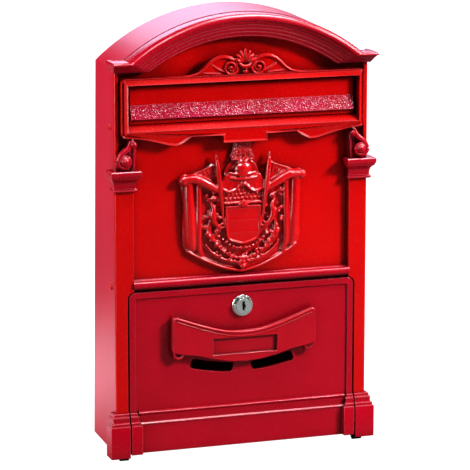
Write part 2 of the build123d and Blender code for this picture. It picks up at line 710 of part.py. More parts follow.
def make_door():
    """Cast drop-down door with its half of the plinth, the hood, the view slots and lock hole."""
    height = DOOR_TOP - DOOR_FOOT
    middle = (DOOR_TOP + DOOR_FOOT) / 2
    plinth_top = PLINTH_HEIGHT + 11.8
    with BuildPart() as door:
        with BuildSketch(front.offset(DOOR_BACK)):
            with Locations((0, middle)):
                Rectangle(2 * DOOR_HALF, height)
            fillet(vertices().group_by(Axis.Y)[-1], DOOR_CORNER)
        extrude(amount=-DOOR_BACK)
        with BuildSketch(front.offset(DOOR_FACE)):
            with Locations((0, (DOOR_TOP - DOOR_BORDER + plinth_top) / 2)):
                Rectangle(2 * (DOOR_HALF - DOOR_BORDER), DOOR_TOP - DOOR_BORDER - plinth_top)
        extrude(amount=-DOOR_FACE, mode=Mode.SUBTRACT)
        # plinth: plain centre between two half blocks
        with BuildSketch(front):
            with Locations((0, (DOOR_FOOT + PLINTH_HEIGHT) / 2)):
                Rectangle(2 * PLINTH_INNER, PLINTH_HEIGHT - DOOR_FOOT)
        extrude(amount=PLINTH_CENTRE_OUT)
        with BuildSketch(front):
            with Locations((0, plinth_top - 1.0)):
                Rectangle(2 * PLINTH_INNER, 2.0)
        extrude(amount=PLINTH_CENTRE_OUT)
        for side in (-1, 1):
            for low, high, out, overhang in plinth_tiers():
                inner = PLINTH_INNER + PLINTH_OVERHANG - overhang
                with BuildSketch(front.offset(DOOR_BACK)):
                    with Locations((side * (DOOR_HALF + inner) / 2, (low + high) / 2)):
                        Rectangle(DOOR_HALF - inner, high - low)
                extrude(amount=out - DOOR_BACK)
            with BuildSketch(front.offset(HINGE_OUT - 2 * HINGE_PIN_RADIUS)):
                with Locations((side * (DOOR_HALF + PLINTH_INNER) / 2, HINGE_HEIGHT)):
                    Rectangle(DOOR_HALF - PLINTH_INNER, 2 * HINGE_HEIGHT)
            extrude(amount=2 * HINGE_PIN_RADIUS)
        # hood, hollow from below
        with BuildSketch(front.offset(DOOR_FACE)):
            add(hood_outline(0, 0))
        extrude(amount=HOOD_OUT - DOOR_FACE, taper=8)
        with BuildSketch(front.offset(DOOR_FACE)):
            add(hood_outline(HOOD_WALL + 1.5, 14.0))
        extrude(amount=HOOD_OUT - DOOR_FACE - HOOD_WALL, mode=Mode.SUBTRACT)
        # view slots, lock hole and hinge holes
        with BuildSketch(front.offset(DOOR_BACK)):
            for side in (-1, 1):
                with Locations((side * VIEW_SLOT_CENTRE[0], VIEW_SLOT_CENTRE[1])):
                    SlotOverall(VIEW_SLOT_LENGTH, VIEW_SLOT_HEIGHT, rotation=side * VIEW_SLOT_ANGLE)
            with Locations((0, LOCK_HEIGHT)):
                Circle(BARREL_LOCK_RADIUS + LOOSE)
        extrude(amount=DOOR_THICKNESS, mode=Mode.SUBTRACT)
        for side in (-1, 1):
            with BuildSketch(across(side * DOOR_HALF)):
                with Locations((HINGE_OUT, HINGE_HEIGHT)):
                    Circle(HINGE_PIN_RADIUS + RUNNING)
            extrude(amount=side * (HINGE_PIN_EMBED + SHEET_GAP), mode=Mode.SUBTRACT)
    write(door, "door")


def make_hinge():
    """A bush in each plinth block and the pin that runs from it into the door."""
    inner = DOOR_HALF - HINGE_PIN_EMBED
    outer = BUSH_INNER + BUSH_WIDTH - BUSH_WALL - SHEET_GAP
    for side, name in ((-1, "left"), (1, "right")):
        with BuildPart() as hinge_bush:
            with BuildSketch(across(side * BUSH_INNER)):
                add(bush_outline(0))
            extrude(amount=-side * BUSH_WIDTH)
            with BuildSketch(across(side * BUSH_INNER)):
                with Locations((HINGE_OUT, HINGE_HEIGHT)):
                    Circle(HINGE_PIN_RADIUS + SEAT)
            extrude(amount=-side * (BUSH_WIDTH - BUSH_WALL), mode=Mode.SUBTRACT)
        write(hinge_bush, f"hinge_bush_{name}")
        with BuildPart() as hinge_pin:
            with BuildSketch(across(side * inner)):
                with Locations((HINGE_OUT, HINGE_HEIGHT)):
                    Circle(HINGE_PIN_RADIUS)
            extrude(amount=-side * (outer - inner))
        write(hinge_pin, f"hinge_pin_{name}")


# --- lock ---------------------------------------------------------------------------------------

def lock_sketch(out):
    """A sketch plane centred on the lock at the given out."""
    return up_front(out, LOCK_HEIGHT)


def make_lock():
    """Cam lock: fixed body and nut in the door; plug, cam, washer and screw turn together."""
    with BuildPart() as lock_body:
        with BuildSketch(lock_sketch(LOCK_BACK)):
            Circle(BARREL_LOCK_RADIUS)
        extrude(amount=LOCK_LENGTH)
        with BuildSketch(lock_sketch(DOOR_FACE)):
            Circle(LOCK_FLANGE_RADIUS)
        extrude(amount=LOCK_FLANGE)
        with BuildSketch(lock_sketch(DOOR_FACE + LOCK_FLANGE)):
            Circle(LOCK_RING_RADIUS)
        extrude(amount=LOCK_PROUD - LOCK_FLANGE)
        with BuildSketch(lock_sketch(LOCK_BACK)):
            Circle(PLUG_RADIUS + RUNNING)
        extrude(amount=FAR / 4, mode=Mode.SUBTRACT)
        with BuildSketch(lock_sketch(PLUG_STEP)):
            Circle(PLUG_HEAD_RADIUS + RUNNING)
        extrude(amount=FAR / 4, mode=Mode.SUBTRACT)
    write(lock_body, "lock_body")

    with BuildPart() as lock_nut:
        with BuildSketch(lock_sketch(DOOR_BACK)):
            RegularPolygon(NUT_FLATS / 2, 6, major_radius=False)
            Circle(BARREL_LOCK_RADIUS + SEAT, mode=Mode.SUBTRACT)
        extrude(amount=-NUT_HEIGHT)
    write(lock_nut, "lock_nut")

    with BuildPart() as lock_plug:
        with BuildSketch(lock_sketch(CAM_FACE)):
            Circle(PLUG_RADIUS)
        extrude(amount=PLUG_STEP + RUNNING - CAM_FACE)
        with BuildSketch(lock_sketch(PLUG_STEP + RUNNING)):
            Circle(PLUG_HEAD_RADIUS)
        extrude(amount=DOOR_FACE + LOCK_PROUD + PLUG_PROUD - PLUG_STEP - RUNNING)
        with BuildSketch(lock_sketch(CAM_FACE - CAM_THICKNESS - SEAT)):
            Circle(TAIL_RADIUS)
            Rectangle(TAIL_FLATS, 4 * TAIL_RADIUS, mode=Mode.INTERSECT)
        extrude(amount=CAM_THICKNESS + SEAT)
        with BuildSketch(lock_sketch(DOOR_FACE)):
            Rectangle(KEYWAY_WIDTH, KEYWAY_HEIGHT)
        extrude(amount=2 * LOCK_PROUD, mode=Mode.SUBTRACT)
        with BuildSketch(lock_sketch(CAM_FACE - CAM_THICKNESS - SEAT)):
            Circle(CAM_SCREW_RADIUS + SEAT)
        extrude(amount=CAM_SCREW_LENGTH + 1, mode=Mode.SUBTRACT)
    write(lock_plug, "lock_plug")

    with BuildPart() as lock_cam:
        with BuildSketch(lock_sketch(CAM_FACE)):
            with Locations((CAM_LENGTH / 2 - CAM_WIDTH / 4, 0)):
                SlotOverall(CAM_LENGTH + CAM_WIDTH / 2, CAM_WIDTH)
            with BuildSketch(mode=Mode.SUBTRACT):
                Circle(TAIL_RADIUS + LOOSE)
                Rectangle(TAIL_FLATS + 2 * LOOSE, 4 * TAIL_RADIUS, mode=Mode.INTERSECT)
        extrude(amount=-CAM_THICKNESS)
    write(lock_cam, "lock_cam")

    washer_face = CAM_FACE - CAM_THICKNESS - SEAT
    with BuildPart() as lock_cam_washer:
        with BuildSketch(lock_sketch(washer_face)):
            Circle(CAM_WASHER_RADIUS)
            Circle(CAM_SCREW_RADIUS + LOOSE, mode=Mode.SUBTRACT)
        extrude(amount=-CLIP_THICKNESS)
    write(lock_cam_washer, "lock_cam_washer")

    with BuildPart() as lock_cam_screw:
        with BuildSketch(lock_sketch(washer_face - CLIP_THICKNESS)):
            Circle(CAM_SCREW_HEAD)
        extrude(amount=-CAM_SCREW_HEAD_HEIGHT, taper=10)
        with BuildSketch(lock_sketch(washer_face - CLIP_THICKNESS)):
            Circle(CAM_SCREW_RADIUS)
        extrude(amount=CAM_SCREW_LENGTH)
    write(lock_cam_screw, "lock_cam_screw")


make_box_wrap()
make_back_panel()
make_back_rivets()
make_floor_pan()
make_side_screws()
make_front_frame()
make_crest_badge()
make_crest_clips()
make_letter_flap()
make_flap_hinge_rod()
make_flap_rod_clips()
make_flap_buffers()
make_door()
make_hinge()
make_lock()
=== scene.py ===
import json
import random
from math import asin, atan2, cos, degrees, pi, radians, sin

import bmesh
import bpy
from bmesh.types import BMEdge, BMFace, BMVert
from mathutils import Matrix, Vector, noise


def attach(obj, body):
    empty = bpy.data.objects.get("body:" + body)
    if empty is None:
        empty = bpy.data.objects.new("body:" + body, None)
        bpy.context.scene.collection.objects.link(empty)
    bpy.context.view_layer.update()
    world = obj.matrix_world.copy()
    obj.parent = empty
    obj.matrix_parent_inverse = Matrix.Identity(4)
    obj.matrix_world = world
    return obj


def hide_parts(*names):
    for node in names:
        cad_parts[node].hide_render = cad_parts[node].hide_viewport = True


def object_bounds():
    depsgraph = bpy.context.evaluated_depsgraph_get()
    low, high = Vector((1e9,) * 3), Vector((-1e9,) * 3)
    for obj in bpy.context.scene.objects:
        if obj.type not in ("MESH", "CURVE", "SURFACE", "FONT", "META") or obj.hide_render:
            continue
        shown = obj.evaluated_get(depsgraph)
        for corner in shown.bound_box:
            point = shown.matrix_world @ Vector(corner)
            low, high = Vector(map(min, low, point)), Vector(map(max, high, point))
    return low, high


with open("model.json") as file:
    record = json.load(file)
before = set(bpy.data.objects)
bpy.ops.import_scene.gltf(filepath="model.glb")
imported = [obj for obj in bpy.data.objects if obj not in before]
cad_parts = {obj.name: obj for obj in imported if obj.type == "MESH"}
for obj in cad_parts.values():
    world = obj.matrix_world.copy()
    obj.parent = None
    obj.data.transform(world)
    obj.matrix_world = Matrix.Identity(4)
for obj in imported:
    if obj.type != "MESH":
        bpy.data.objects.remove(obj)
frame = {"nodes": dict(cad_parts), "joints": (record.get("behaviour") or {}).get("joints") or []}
cad_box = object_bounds()

# --- sheet box ----------------------------------------------------------------------------------
# Sides and arched roof folded from one steel sheet, with a riveted back plate and a floor tray.
# All of it is powder coated in one red, and the sheet is smooth, so its grain is fine and faint.

# The shared surface of every finish: cloudy colour and grain, paler edges that are partly rubbed
# wear and partly painted highlight, and painted shade in recesses.
surface = bpy.data.node_groups.new("wear_and_painted_light", "ShaderNodeTree")
for socket, kind, value in (
    ("Colour", "NodeSocketColor", (0.7, 0.01, 0.02, 1)),
    ("Deep Colour", "NodeSocketColor", (0.5, 0.0, 0.01, 1)),
    ("Edge Wear And Highlight Colour", "NodeSocketColor", (0.9, 0.2, 0.25, 1)),
    ("Grain Scale", "NodeSocketFloat", 900.0),
    ("Cloud Scale", "NodeSocketFloat", 14.0),
    ("Edge Wear And Highlight Amount", "NodeSocketFloat", 0.3),
    ("Gloss", "NodeSocketFloat", 0.34),
    ("Recess Value", "NodeSocketFloat", 0.3),
    ("Recess Reach", "NodeSocketFloat", 0.016),
):
    made = surface.interface.new_socket(socket, in_out="INPUT", socket_type=kind)
    made.default_value = value
for socket, kind in (("Colour", "NodeSocketColor"), ("Roughness", "NodeSocketFloat"),
                     ("Height", "NodeSocketFloat")):
    surface.interface.new_socket(socket, in_out="OUTPUT", socket_type=kind)


def node(tree, kind, inputs=(), **settings):
    """A node in a tree, with its settings made and its inputs set or linked."""
    new = tree.nodes.new(kind)
    for name, value in settings.items():
        setattr(new, name, value)
    for name, value in dict(inputs).items():
        if isinstance(value, bpy.types.NodeSocket):
            tree.links.new(value, new.inputs[name])
        else:
            new.inputs[name].default_value = value
    return new


def maths(tree, operation, *values):
    """One step of arithmetic."""
    return node(tree, "ShaderNodeMath", enumerate(values), operation=operation).outputs[0]


def ramp(tree, factor, low, high):
    """A smooth 0 to 1 step as factor goes from low to high."""
    return node(tree, "ShaderNodeMapRange", {"Value": factor, "From Min": low, "From Max": high},
                interpolation_type="SMOOTHSTEP").outputs["Result"]


def mixed(tree, factor, first, second):
    """Two colours mixed."""
    new = tree.nodes.new("ShaderNodeMix")
    new.data_type = "RGBA"
    sockets = [s for s in new.inputs if s.enabled]
    for place, value in zip(sockets, (factor, first, second)):
        if isinstance(value, bpy.types.NodeSocket):
            tree.links.new(value, place)
        else:
            place.default_value = value
    return next(s for s in new.outputs if s.enabled)


# broad clouds and fine grain
inlet = node(surface, "NodeGroupInput")
outlet = node(surface, "NodeGroupOutput")
place = node(surface, "ShaderNodeTexCoord").outputs["Object"]
clouds = node(surface, "ShaderNodeTexNoise",
              {"Vector": place, "Scale": inlet.outputs["Cloud Scale"], "Detail": 3.0})
grain = node(surface, "ShaderNodeTexNoise",
             {"Vector": place, "Scale": inlet.outputs["Grain Scale"], "Detail": 2.0})
# paler edges, partly rubbed wear and partly a painted highlight that is stronger on edges facing up
# into the light than on those facing down
eased = node(surface, "ShaderNodeBevel", {"Radius": 0.0009}, samples=4).outputs["Normal"]
flat = node(surface, "ShaderNodeNewGeometry").outputs["Normal"]
turn = node(surface, "ShaderNodeVectorMath", {0: eased, 1: flat},
            operation="DOT_PRODUCT").outputs["Value"]
rising = node(surface, "ShaderNodeSeparateXYZ", {"Vector": eased}).outputs["Z"]
worn_lit_edges = maths(surface, "MULTIPLY", ramp(surface, turn, 0.985, 0.86),
                ramp(surface, rising, -0.5, 0.6))
rubbed_and_lit = maths(surface, "MULTIPLY", worn_lit_edges, inlet.outputs["Edge Wear And Highlight Amount"])
# painted shade: darker recesses, where less light reaches
hollow = node(surface, "ShaderNodeAmbientOcclusion",
              {"Distance": inlet.outputs["Recess Reach"]}, samples=6).outputs["AO"]
cloudy = mixed(surface, ramp(surface, clouds.outputs["Fac"], 0.35, 0.65),
               inlet.outputs["Deep Colour"], inlet.outputs["Colour"])
recess_shade = node(surface, "ShaderNodeHueSaturation",
             {"Color": cloudy, "Value": inlet.outputs["Recess Value"]}).outputs["Color"]
shaded = mixed(surface, ramp(surface, hollow, 0.35, 0.95), recess_shade, cloudy)
surface.links.new(mixed(surface, rubbed_and_lit, shaded, inlet.outputs["Edge Wear And Highlight Colour"]),
                  outlet.inputs["Colour"])
# a gloss that the grain varies a little, and the grain as relief
mottle = maths(surface, "MULTIPLY_ADD", grain.outputs["Fac"], 0.12, -0.06)
surface.links.new(maths(surface, "ADD", inlet.outputs["Gloss"], mottle),
                  outlet.inputs["Roughness"])
surface.links.new(grain.outputs["Fac"], outlet.inputs["Height"])


def surfaced(name, relief, values):
    """A material whose colour, gloss and relief all come from the shared surface."""
    finish = bpy.data.materials.new(name)
    finish.use_nodes = True
    tree = finish.node_tree
    shader = tree.nodes["Principled BSDF"]
    worn_and_lit = tree.nodes.new("ShaderNodeGroup")
    worn_and_lit.node_tree = surface
    for socket, value in values.items():
        worn_and_lit.inputs[socket].default_value = value
    bump = node(tree, "ShaderNodeBump",
                {"Height": worn_and_lit.outputs["Height"], "Strength": relief, "Distance": 0.0002})
    tree.links.new(worn_and_lit.outputs["Colour"], shader.inputs["Base Color"])
    tree.links.new(worn_and_lit.outputs["Roughness"], shader.inputs["Roughness"])
    tree.links.new(bump.outputs["Normal"], shader.inputs["Normal"])
    return finish, shader.inputs


def painted(name, colour, deep, edge, gloss=0.26, grain=900.0, relief=0.4, coat=0.0, wear_and_highlight=0.45,
            recess=0.3, coat_roughness=0.22, coat_ior=1.3):
    """A red powder coat: cloudy colour, paler edges that are partly rubbed wear and partly painted
    highlight, painted shade in its recesses, and an orange-peel surface.
    """
    paint, shader = surfaced(name, relief, {
        "Colour": (*colour, 1), "Deep Colour": (*deep, 1), "Edge Wear And Highlight Colour": (*edge, 1),
        "Grain Scale": grain, "Gloss": gloss, "Edge Wear And Highlight Amount": wear_and_highlight, "Recess Value": recess})
    shader["Specular IOR Level"].default_value = 0.32
    shader["Coat Weight"].default_value = coat
    shader["Coat Roughness"].default_value = coat_roughness
    shader["Coat IOR"].default_value = coat_ior
    return paint


def finish_nodes(names, finish):
    """CAD nodes keep their shape and take a finish."""
    for name in names:
        slots = frame["nodes"][name].data.materials
        slots.clear()
        slots.append(finish)


# the sheet's bluer red is partly a painted reflection of the pale floor and sky in its sides and
# roof
sheet_red = painted("sheet_red", (0.72, 0.008, 0.042), (0.64, 0.006, 0.034), (0.9, 0.25, 0.3),
                    gloss=0.32, grain=700.0, relief=0.25, wear_and_highlight=0.0)
finish_nodes(["box_wrap", "back_panel", "floor_pan"], sheet_red)

# --- cast front: web ----------------------------------------------------------------------------
# The aluminium casting that closes the box. It leans back, so its pieces are drawn upright in
# millimetres, as (x, out, height), and then seated on the leaning front, which the lock's axis
# gives. This is its thin web: mouth, door opening, screw flanges and the lock's keeper rib.

lock_joint = next(j for j in frame["joints"] if j["name"] == "lock_turn")
lock_height = 135.7
lean = atan2(lock_joint["axis"][2], -lock_joint["axis"][1])
turned = Matrix.Rotation(-lean, 4, "X")
foot = Vector(lock_joint["pos_m"]) - turned @ Vector((0, 0, lock_height / 1000))
seat = Matrix.Translation(foot) @ turned @ Matrix.Scale(0.001, 4)

half_box = 123.0
sheet = 1.8
roof_radius = 178.4
roof_centre = 231.2
panel_out = -6.0
panel_back = -9.5
opening_half, opening_foot, opening_top = 111.5, 3.0, 155.8
opening_corner = 6.8

cast_red = painted("cast_red", (0.82, 0.001, 0.001), (0.76, 0.0, 0.001), (1.0, 0.40, 0.48))


def arc(centre_x, centre_z, radius, start, end, steps):
    """Points along an arc, its angles in degrees from the +x side."""
    turns = [radians(start + (end - start) * step / steps) for step in range(steps + 1)]
    return [(centre_x + radius * cos(turn), centre_z + radius * sin(turn)) for turn in turns]


def oblong(half, foot, top):
    """A rectangle centred on the front."""
    return [(-half, foot), (half, foot), (half, top), (-half, top)]


def both_sides(half):
    """A closed outline from its right half, whose points go from the foot to the top."""
    return half + [(-x, z) for x, z in reversed(half) if abs(x) > 0.01]


def only(kind, geometry):
    """The verts, edges or faces among what an operator gives back."""
    return [item for item in geometry if isinstance(item, kind)]


def slab(bm, outlines, low, high, merged=True):
    """Flat stock between two outs: the first outline is its edge and the others are holes.
    A sheet whose hole must stay as drawn is left unmerged. It returns the front faces."""
    edges = []
    for outline in outlines:
        corners = [bm.verts.new((x, -low, z)) for x, z in outline]
        edges += [bm.edges.new(pair) for pair in zip(corners, corners[1:] + corners[:1])]
    filled = bmesh.ops.triangle_fill(bm, edges=edges, use_beauty=True)["geom"]
    flat_faces = only(BMFace, filled)
    inner = [edge for edge in only(BMEdge, filled) if len(edge.link_faces) == 2]
    if merged:
        joined = bmesh.ops.dissolve_limit(bm, angle_limit=0.01, verts=[], edges=inner)
        flat_faces = only(BMFace, joined["region"])
    raised = bmesh.ops.extrude_face_region(bm, geom=flat_faces)["geom"]
    bmesh.ops.translate(bm, vec=(0, low - high, 0), verts=only(BMVert, raised))
    return only(BMFace, raised)


def drawn(bm, profile, start, end):
    """A bar of one profile: (out, height) points drawn from one x to another."""
    face = bm.faces.new([bm.verts.new((start, -out, z)) for out, z in profile])
    bar = bmesh.ops.extrude_face_region(bm, geom=[face])["geom"]
    bmesh.ops.translate(bm, vec=(end - start, 0, 0), verts=only(BMVert, bar))


def block(bm, x_range, out_range, height_range):
    """A plain rib or flange."""
    (x0, x1), (z0, z1) = x_range, height_range
    slab(bm, [[(x0, z0), (x1, z0), (x1, z1), (x0, z1)]], *out_range)


def placed(name, data):
    """A new object in the scene."""
    new = bpy.data.objects.new(name, data)
    bpy.context.scene.collection.objects.link(new)
    return new


softened_from = radians(32)
sharp_from = radians(38)


def piece(name, bm, stands_for, finish, body="box", edge=0.0, segments=2, at=seat):
    """Finish a drawn piece: closed and outward, seated, softened, and fixed to its body."""
    bmesh.ops.remove_doubles(bm, verts=bm.verts[:], dist=0.005)
    bmesh.ops.recalc_face_normals(bm, faces=bm.faces[:])
    bmesh.ops.transform(bm, matrix=at, verts=bm.verts[:])
    mesh = bpy.data.meshes.new(name)
    for face in bm.faces:
        face.smooth = True
    bm.to_mesh(mesh)
    bm.free()
    mesh.materials.append(finish)
    new = placed(name, mesh)
    if edge:
        soft = new.modifiers.new("soft_edges", "BEVEL")
        soft.width = edge / 1000
        soft.segments = segments
        soft.limit_method = "ANGLE"
        soft.angle_limit = softened_from
        even = new.modifiers.new("even_faces", "WEIGHTED_NORMAL")
        even.weight = 60
    else:
        mesh.set_sharp_from_angle(angle=sharp_from)
    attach(new, body)
    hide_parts(*stands_for)


inside_half = half_box - sheet
inside_radius = roof_radius - sheet
inside_angle = 90 - degrees(asin(inside_half / inside_radius))
corner_x, corner_z = opening_half - opening_corner, opening_top - opening_corner
opening = ([(0, opening_top)] + arc(corner_x, corner_z, opening_corner, 90, 0, 6)
           + [(opening_half, opening_foot)])
web = (opening + [(inside_half, opening_foot)]
       + arc(0, roof_centre, inside_radius, inside_angle, 90, 20))
web_mesh = bmesh.new()
mouth = oblong(half=104, foot=313.5, top=338)
slab(web_mesh, [both_sides(web), mouth], panel_back, panel_out)
block(web_mesh, (-24, 24), (-17.8, panel_back + 1), (157.3, 160.3))
for side in (-1, 1):
    block(web_mesh, sorted((side * 118.2, side * inside_half)), (-21.5, panel_back + 1), (17, 348))
piece("cast_web", web_mesh, ["front_frame"], cast_red, edge=0.5)

# --- cast front: pilasters ----------------------------------------------------------------------
# Flat strips down both sides. Their lips cover the sheet's front edge, and the outer corner is
# well rounded, which is where the casting catches the light all the way up.

hands = ((-1, "left"), (1, "right"))
strip_foot, capital_top, strip_top = 30.0, 269.0, 364.0


def handed(side, points):
    """The right side's points, taken to one side."""
    return [(side * x, *rest) for x, *rest in points]


for side, hand in hands:
    strip = [(half_box, strip_foot), (half_box, strip_top), (119.0, strip_top),
             (119.0, capital_top), (105.0, capital_top)]
    strip += arc(corner_x, corner_z, opening_corner, 85, 0, 6) + [(opening_half, strip_foot)]
    strip = handed(side, strip)
    pilaster = bmesh.new()
    slab(pilaster, [strip], -2.5, 0.0)
    corner = [edge for edge in pilaster.edges
              if all(abs(v.co.x) > half_box - 0.1 and abs(v.co.y) < 0.01 for v in edge.verts)]
    bmesh.ops.bevel(pilaster, geom=corner, offset=2.2, segments=4, profile=0.5, affect="EDGES",
                    material=-1)
    slab(pilaster, [[(x - side * 1.8 if abs(x) > 122 else x, z) for x, z in strip]],
         panel_out - 1, -1.5)
    piece(f"cast_pilaster_{hand}", pilaster, ["front_frame"], cast_red, edge=0.6)

# --- cast front: cornice ------------------------------------------------------------------------
# The arched hood moulding: a rounded nose over stepped coves, swept round the roof's own axis,
# mitred into short level ends that pass over the box's sides. It is one with the casting.

cornice_out, cornice_overhang = 16.8, 4.5
past_middle = 60.0
# painted shade: a darker copy of the same cast red, for the pieces that face down or stand low and
# catch less light
shaded_red = painted("shaded_red", (0.63, 0.002, 0.024), (0.56, 0.001, 0.019), (1.0, 0.40, 0.50),
                   wear_and_highlight=0.5)
cornice = bmesh.new()
nosing = [(0.0, -2.5), (0.0, 11.0), (0.4, 13.2), (1.5, 15.2), (3.2, 16.5), (4.8, 16.8), (6.0, 16.3),
          (6.6, 15.2), (6.9, 13.8), (7.6, 13.7), (8.2, 13.4), (10.2, 11.0), (10.6, 11.3),
          (11.2, 11.0), (13.6, 8.8), (14.0, 9.1), (14.6, 8.8), (17.0, 6.6), (17.4, 6.9),
          (18.0, 6.6), (20.6, 4.4), (21.0, 4.7), (21.7, 4.3), (22.5, 2.4), (22.5, -7.0),
          (1.8, -7.0), (1.8, -2.5)]
section = [cornice.verts.new((0, -out, roof_centre + roof_radius - drop)) for drop, out in nosing]
profile = [cornice.edges.new(pair) for pair in zip(section, section[1:] + section[:1])]
face = cornice.faces.new(section)
sweep = radians(44)
bmesh.ops.spin(cornice, geom=[face], cent=(0, 0, roof_centre), axis=(0, 1, 0),
               angle=sweep, steps=36, use_merge=False)
bmesh.ops.recalc_face_normals(cornice, faces=cornice.faces[:])
side = 1 if sum(v.co.x for v in cornice.verts) > 0 else -1
miter_top, miter_foot = Vector((112.5, 0, 369.6)), Vector((90.3, 0, 358.9))
along = (miter_top - miter_foot).normalized()
miter = Vector((along.z, 0, -along.x))
mirror_x = Matrix.Diagonal((side, 1, 1, 1))
bmesh.ops.bisect_plane(cornice, geom=cornice.verts[:] + cornice.edges[:] + cornice.faces[:],
                       dist=0.001, plane_co=mirror_x @ miter_top, plane_no=mirror_x @ miter,
                       clear_outer=True)
rim = [edge for edge in cornice.edges if edge.is_boundary
       and all(abs(v.co.x) > past_middle for v in edge.verts)]
level = bmesh.ops.extrude_edge_only(cornice, edges=rim)["geom"]
for end in only(BMVert, level):
    end.co.x = side * (half_box + cornice_overhang * max(0.0, -end.co.y) / cornice_out)
back = bmesh.ops.extrude_edge_only(cornice, edges=only(BMEdge, level))["geom"]
for end in only(BMVert, back):
    end.co.y = max(end.co.y, 9.0)
rim = [edge for edge in cornice.edges if edge.is_boundary
       and all(abs(v.co.x) > past_middle for v in edge.verts)]
bmesh.ops.holes_fill(cornice, edges=rim, sides=0)
bmesh.ops.delete(cornice, geom=[f for f in cornice.faces
                                if all(abs(v.co.x) < 0.001 for v in f.verts)], context="FACES")
bmesh.ops.mirror(cornice, geom=cornice.verts[:] + cornice.edges[:] + cornice.faces[:],
                 axis="X", merge_dist=0.01)
piece("cast_cornice", cornice, ["front_frame"], shaded_red)

# --- cast front: capitals and plinth blocks -----------------------------------------------------
# Each capital is an abacus over a hollow bell and an astragal; each plinth block climbs in four
# narrowing steps. Both stand proud of the pilasters and return along the box's sides.


def tiers(bm, steps, inner, outer, lap=0.0, backs=(2.5, 9.8)):
    """A moulded block raised ring by ring, each step as (height, out, overhang). Its inner end
    laps by a share of the overhang, and its outer end returns further back."""
    rings = []
    for height, out, overhang in steps:
        near, far = inner - lap * overhang, outer + max(overhang, 0.1)
        plan = [(near, -out), (far, -out), (far, backs[1]), (outer - 0.2, backs[1]),
                (outer - 0.2, backs[0]), (near, backs[0])]
        ring = [bm.verts.new((x, y, height)) for x, y in plan]
        rings.append([bm.edges.new(pair) for pair in zip(ring, ring[1:] + ring[:1])])
        if len(rings) in (1, len(steps)):
            bm.faces.new(ring)
    for lower, upper in zip(rings, rings[1:]):
        bmesh.ops.bridge_loops(bm, edges=lower + upper)


capital = [(249.5, 0.6, 0.4), (249.6, 2.6, 1.6), (250.3, 3.9, 2.3), (251.4, 4.2, 2.5),
           (252.4, 3.6, 2.1), (252.9, 2.4, 1.4), (254.0, 2.1, 1.2), (256.8, 2.4, 1.4),
           (259.4, 3.5, 2.0), (261.2, 5.6, 3.2), (262.2, 7.6, 4.3), (262.6, 7.9, 4.5),
           (263.4, 7.9, 4.5), (263.9, 8.7, 5.0), (265.2, 9.4, 5.3), (266.6, 9.7, 5.5),
           (268.8, 9.7, 5.5), (269.5, 9.0, 5.1), (269.6, 2.0, 1.0)]
plinth = [(0.0, 5.6, 6.4), (0.5, 6.3, 7.0), (29.5, 6.3, 7.0), (30.2, 5.9, 6.6), (30.5, 5.1, 5.8),
          (31.1, 4.9, 5.6), (32.4, 5.2, 5.9), (33.1, 4.9, 5.6), (33.4, 3.9, 4.6), (34.6, 3.4, 4.1),
          (36.8, 3.3, 4.0), (38.2, 3.8, 4.5), (38.9, 3.4, 4.1), (39.2, 2.4, 3.1), (40.2, 2.2, 2.9),
          (41.4, 2.3, 3.0), (42.0, 1.8, 2.3), (42.1, -0.5, -0.4)]
for side, hand in hands:
    for name, steps, inner, lap in (("capital", capital, 105.0, 0.9),
                                    ("plinth", plinth, opening_half, 0.0)):
        raised = bmesh.new()
        tiers(raised, steps, inner, half_box, lap)
        bmesh.ops.transform(raised, matrix=Matrix.Diagonal((side, 1, 1, 1)),
                            verts=raised.verts[:])
        piece(f"cast_{name}_{hand}", raised, ["front_frame"], shaded_red)

# --- cast front: letter-slot surround -----------------------------------------------------------
# A long frame round the letter slot with a raised line at both its edges. Its foot hangs in
# shallow swags, and its top swells into two scrolls with a small palmette between them.


def through(points, steps=6):
    """A smooth line through the points."""
    line = []
    padded = [points[0]] + points + [points[-1]]
    for a, b, c, d in zip(padded, padded[1:], padded[2:], padded[3:]):
        for step in range(steps):
            t = step / steps
            line.append(tuple(0.5 * (2 * q + (r - p) * t + (2 * p - 5 * q + 4 * r - s) * t * t
                                     + (3 * q - p - 3 * r + s) * t**3)
                              for p, q, r, s in zip(a, b, c, d)))
    return line + [points[-1]]


def strand(bm, points, radii):
    """A rounded rib, stem or bead line laid through (x, out, height) points."""
    line = bpy.data.curves.new("strand", "CURVE")
    line.dimensions = "3D"
    line.bevel_depth = 1.0
    line.bevel_resolution = 3
    line.resolution_u = 4
    line.use_fill_caps = True
    path = line.splines.new("NURBS")
    path.points.add(len(points) - 1)
    if not hasattr(radii, "__len__"):
        radii = [radii] * len(points)
    for spot, (x, out, height), radius in zip(path.points, points, radii):
        spot.co = (x, -out, height, 1)
        spot.radius = radius
    path.order_u = 3
    path.use_endpoint_u = True
    holder = bpy.data.objects.new("strand", line)
    mesh = bpy.data.meshes.new_from_object(holder)
    bm.from_mesh(mesh)
    bpy.data.objects.remove(holder)
    bpy.data.curves.remove(line)
    bpy.data.meshes.remove(mesh)


def across(half):
    """A line that runs from its far left end through the middle to its right end."""
    return handed(-1, half[:0:-1]) + half


def ball(bm, x, out, height, across, deep=None, tall=None, turn=0.0, detail=2):
    """A bead or boss."""
    size = Matrix.Diagonal((across, deep or across, tall or across, 1))
    spot = Matrix.Translation((x, -out, height)) @ Matrix.Rotation(turn, 4, "Y") @ size
    bmesh.ops.create_icosphere(bm, subdivisions=detail, radius=1.0, matrix=spot)


def scroll(x, out, height, size, turns, start, way):
    """Points of a volute winding in to its eye, rising a little as it goes."""
    points = []
    for step in range(int(turns * 12) + 1):
        share = step / (turns * 12)
        angle = radians(start) + way * turns * 2 * pi * share
        reach = size * (1 - share) ** 0.8 + 0.8
        points.append((x + reach * cos(angle), out + 1.2 * share, height + reach * sin(angle)))
    return points


def tapered(count, start, end):
    """Radii that thin evenly along a strand."""
    return [start + (end - start) * step / (count - 1) for step in range(count)]


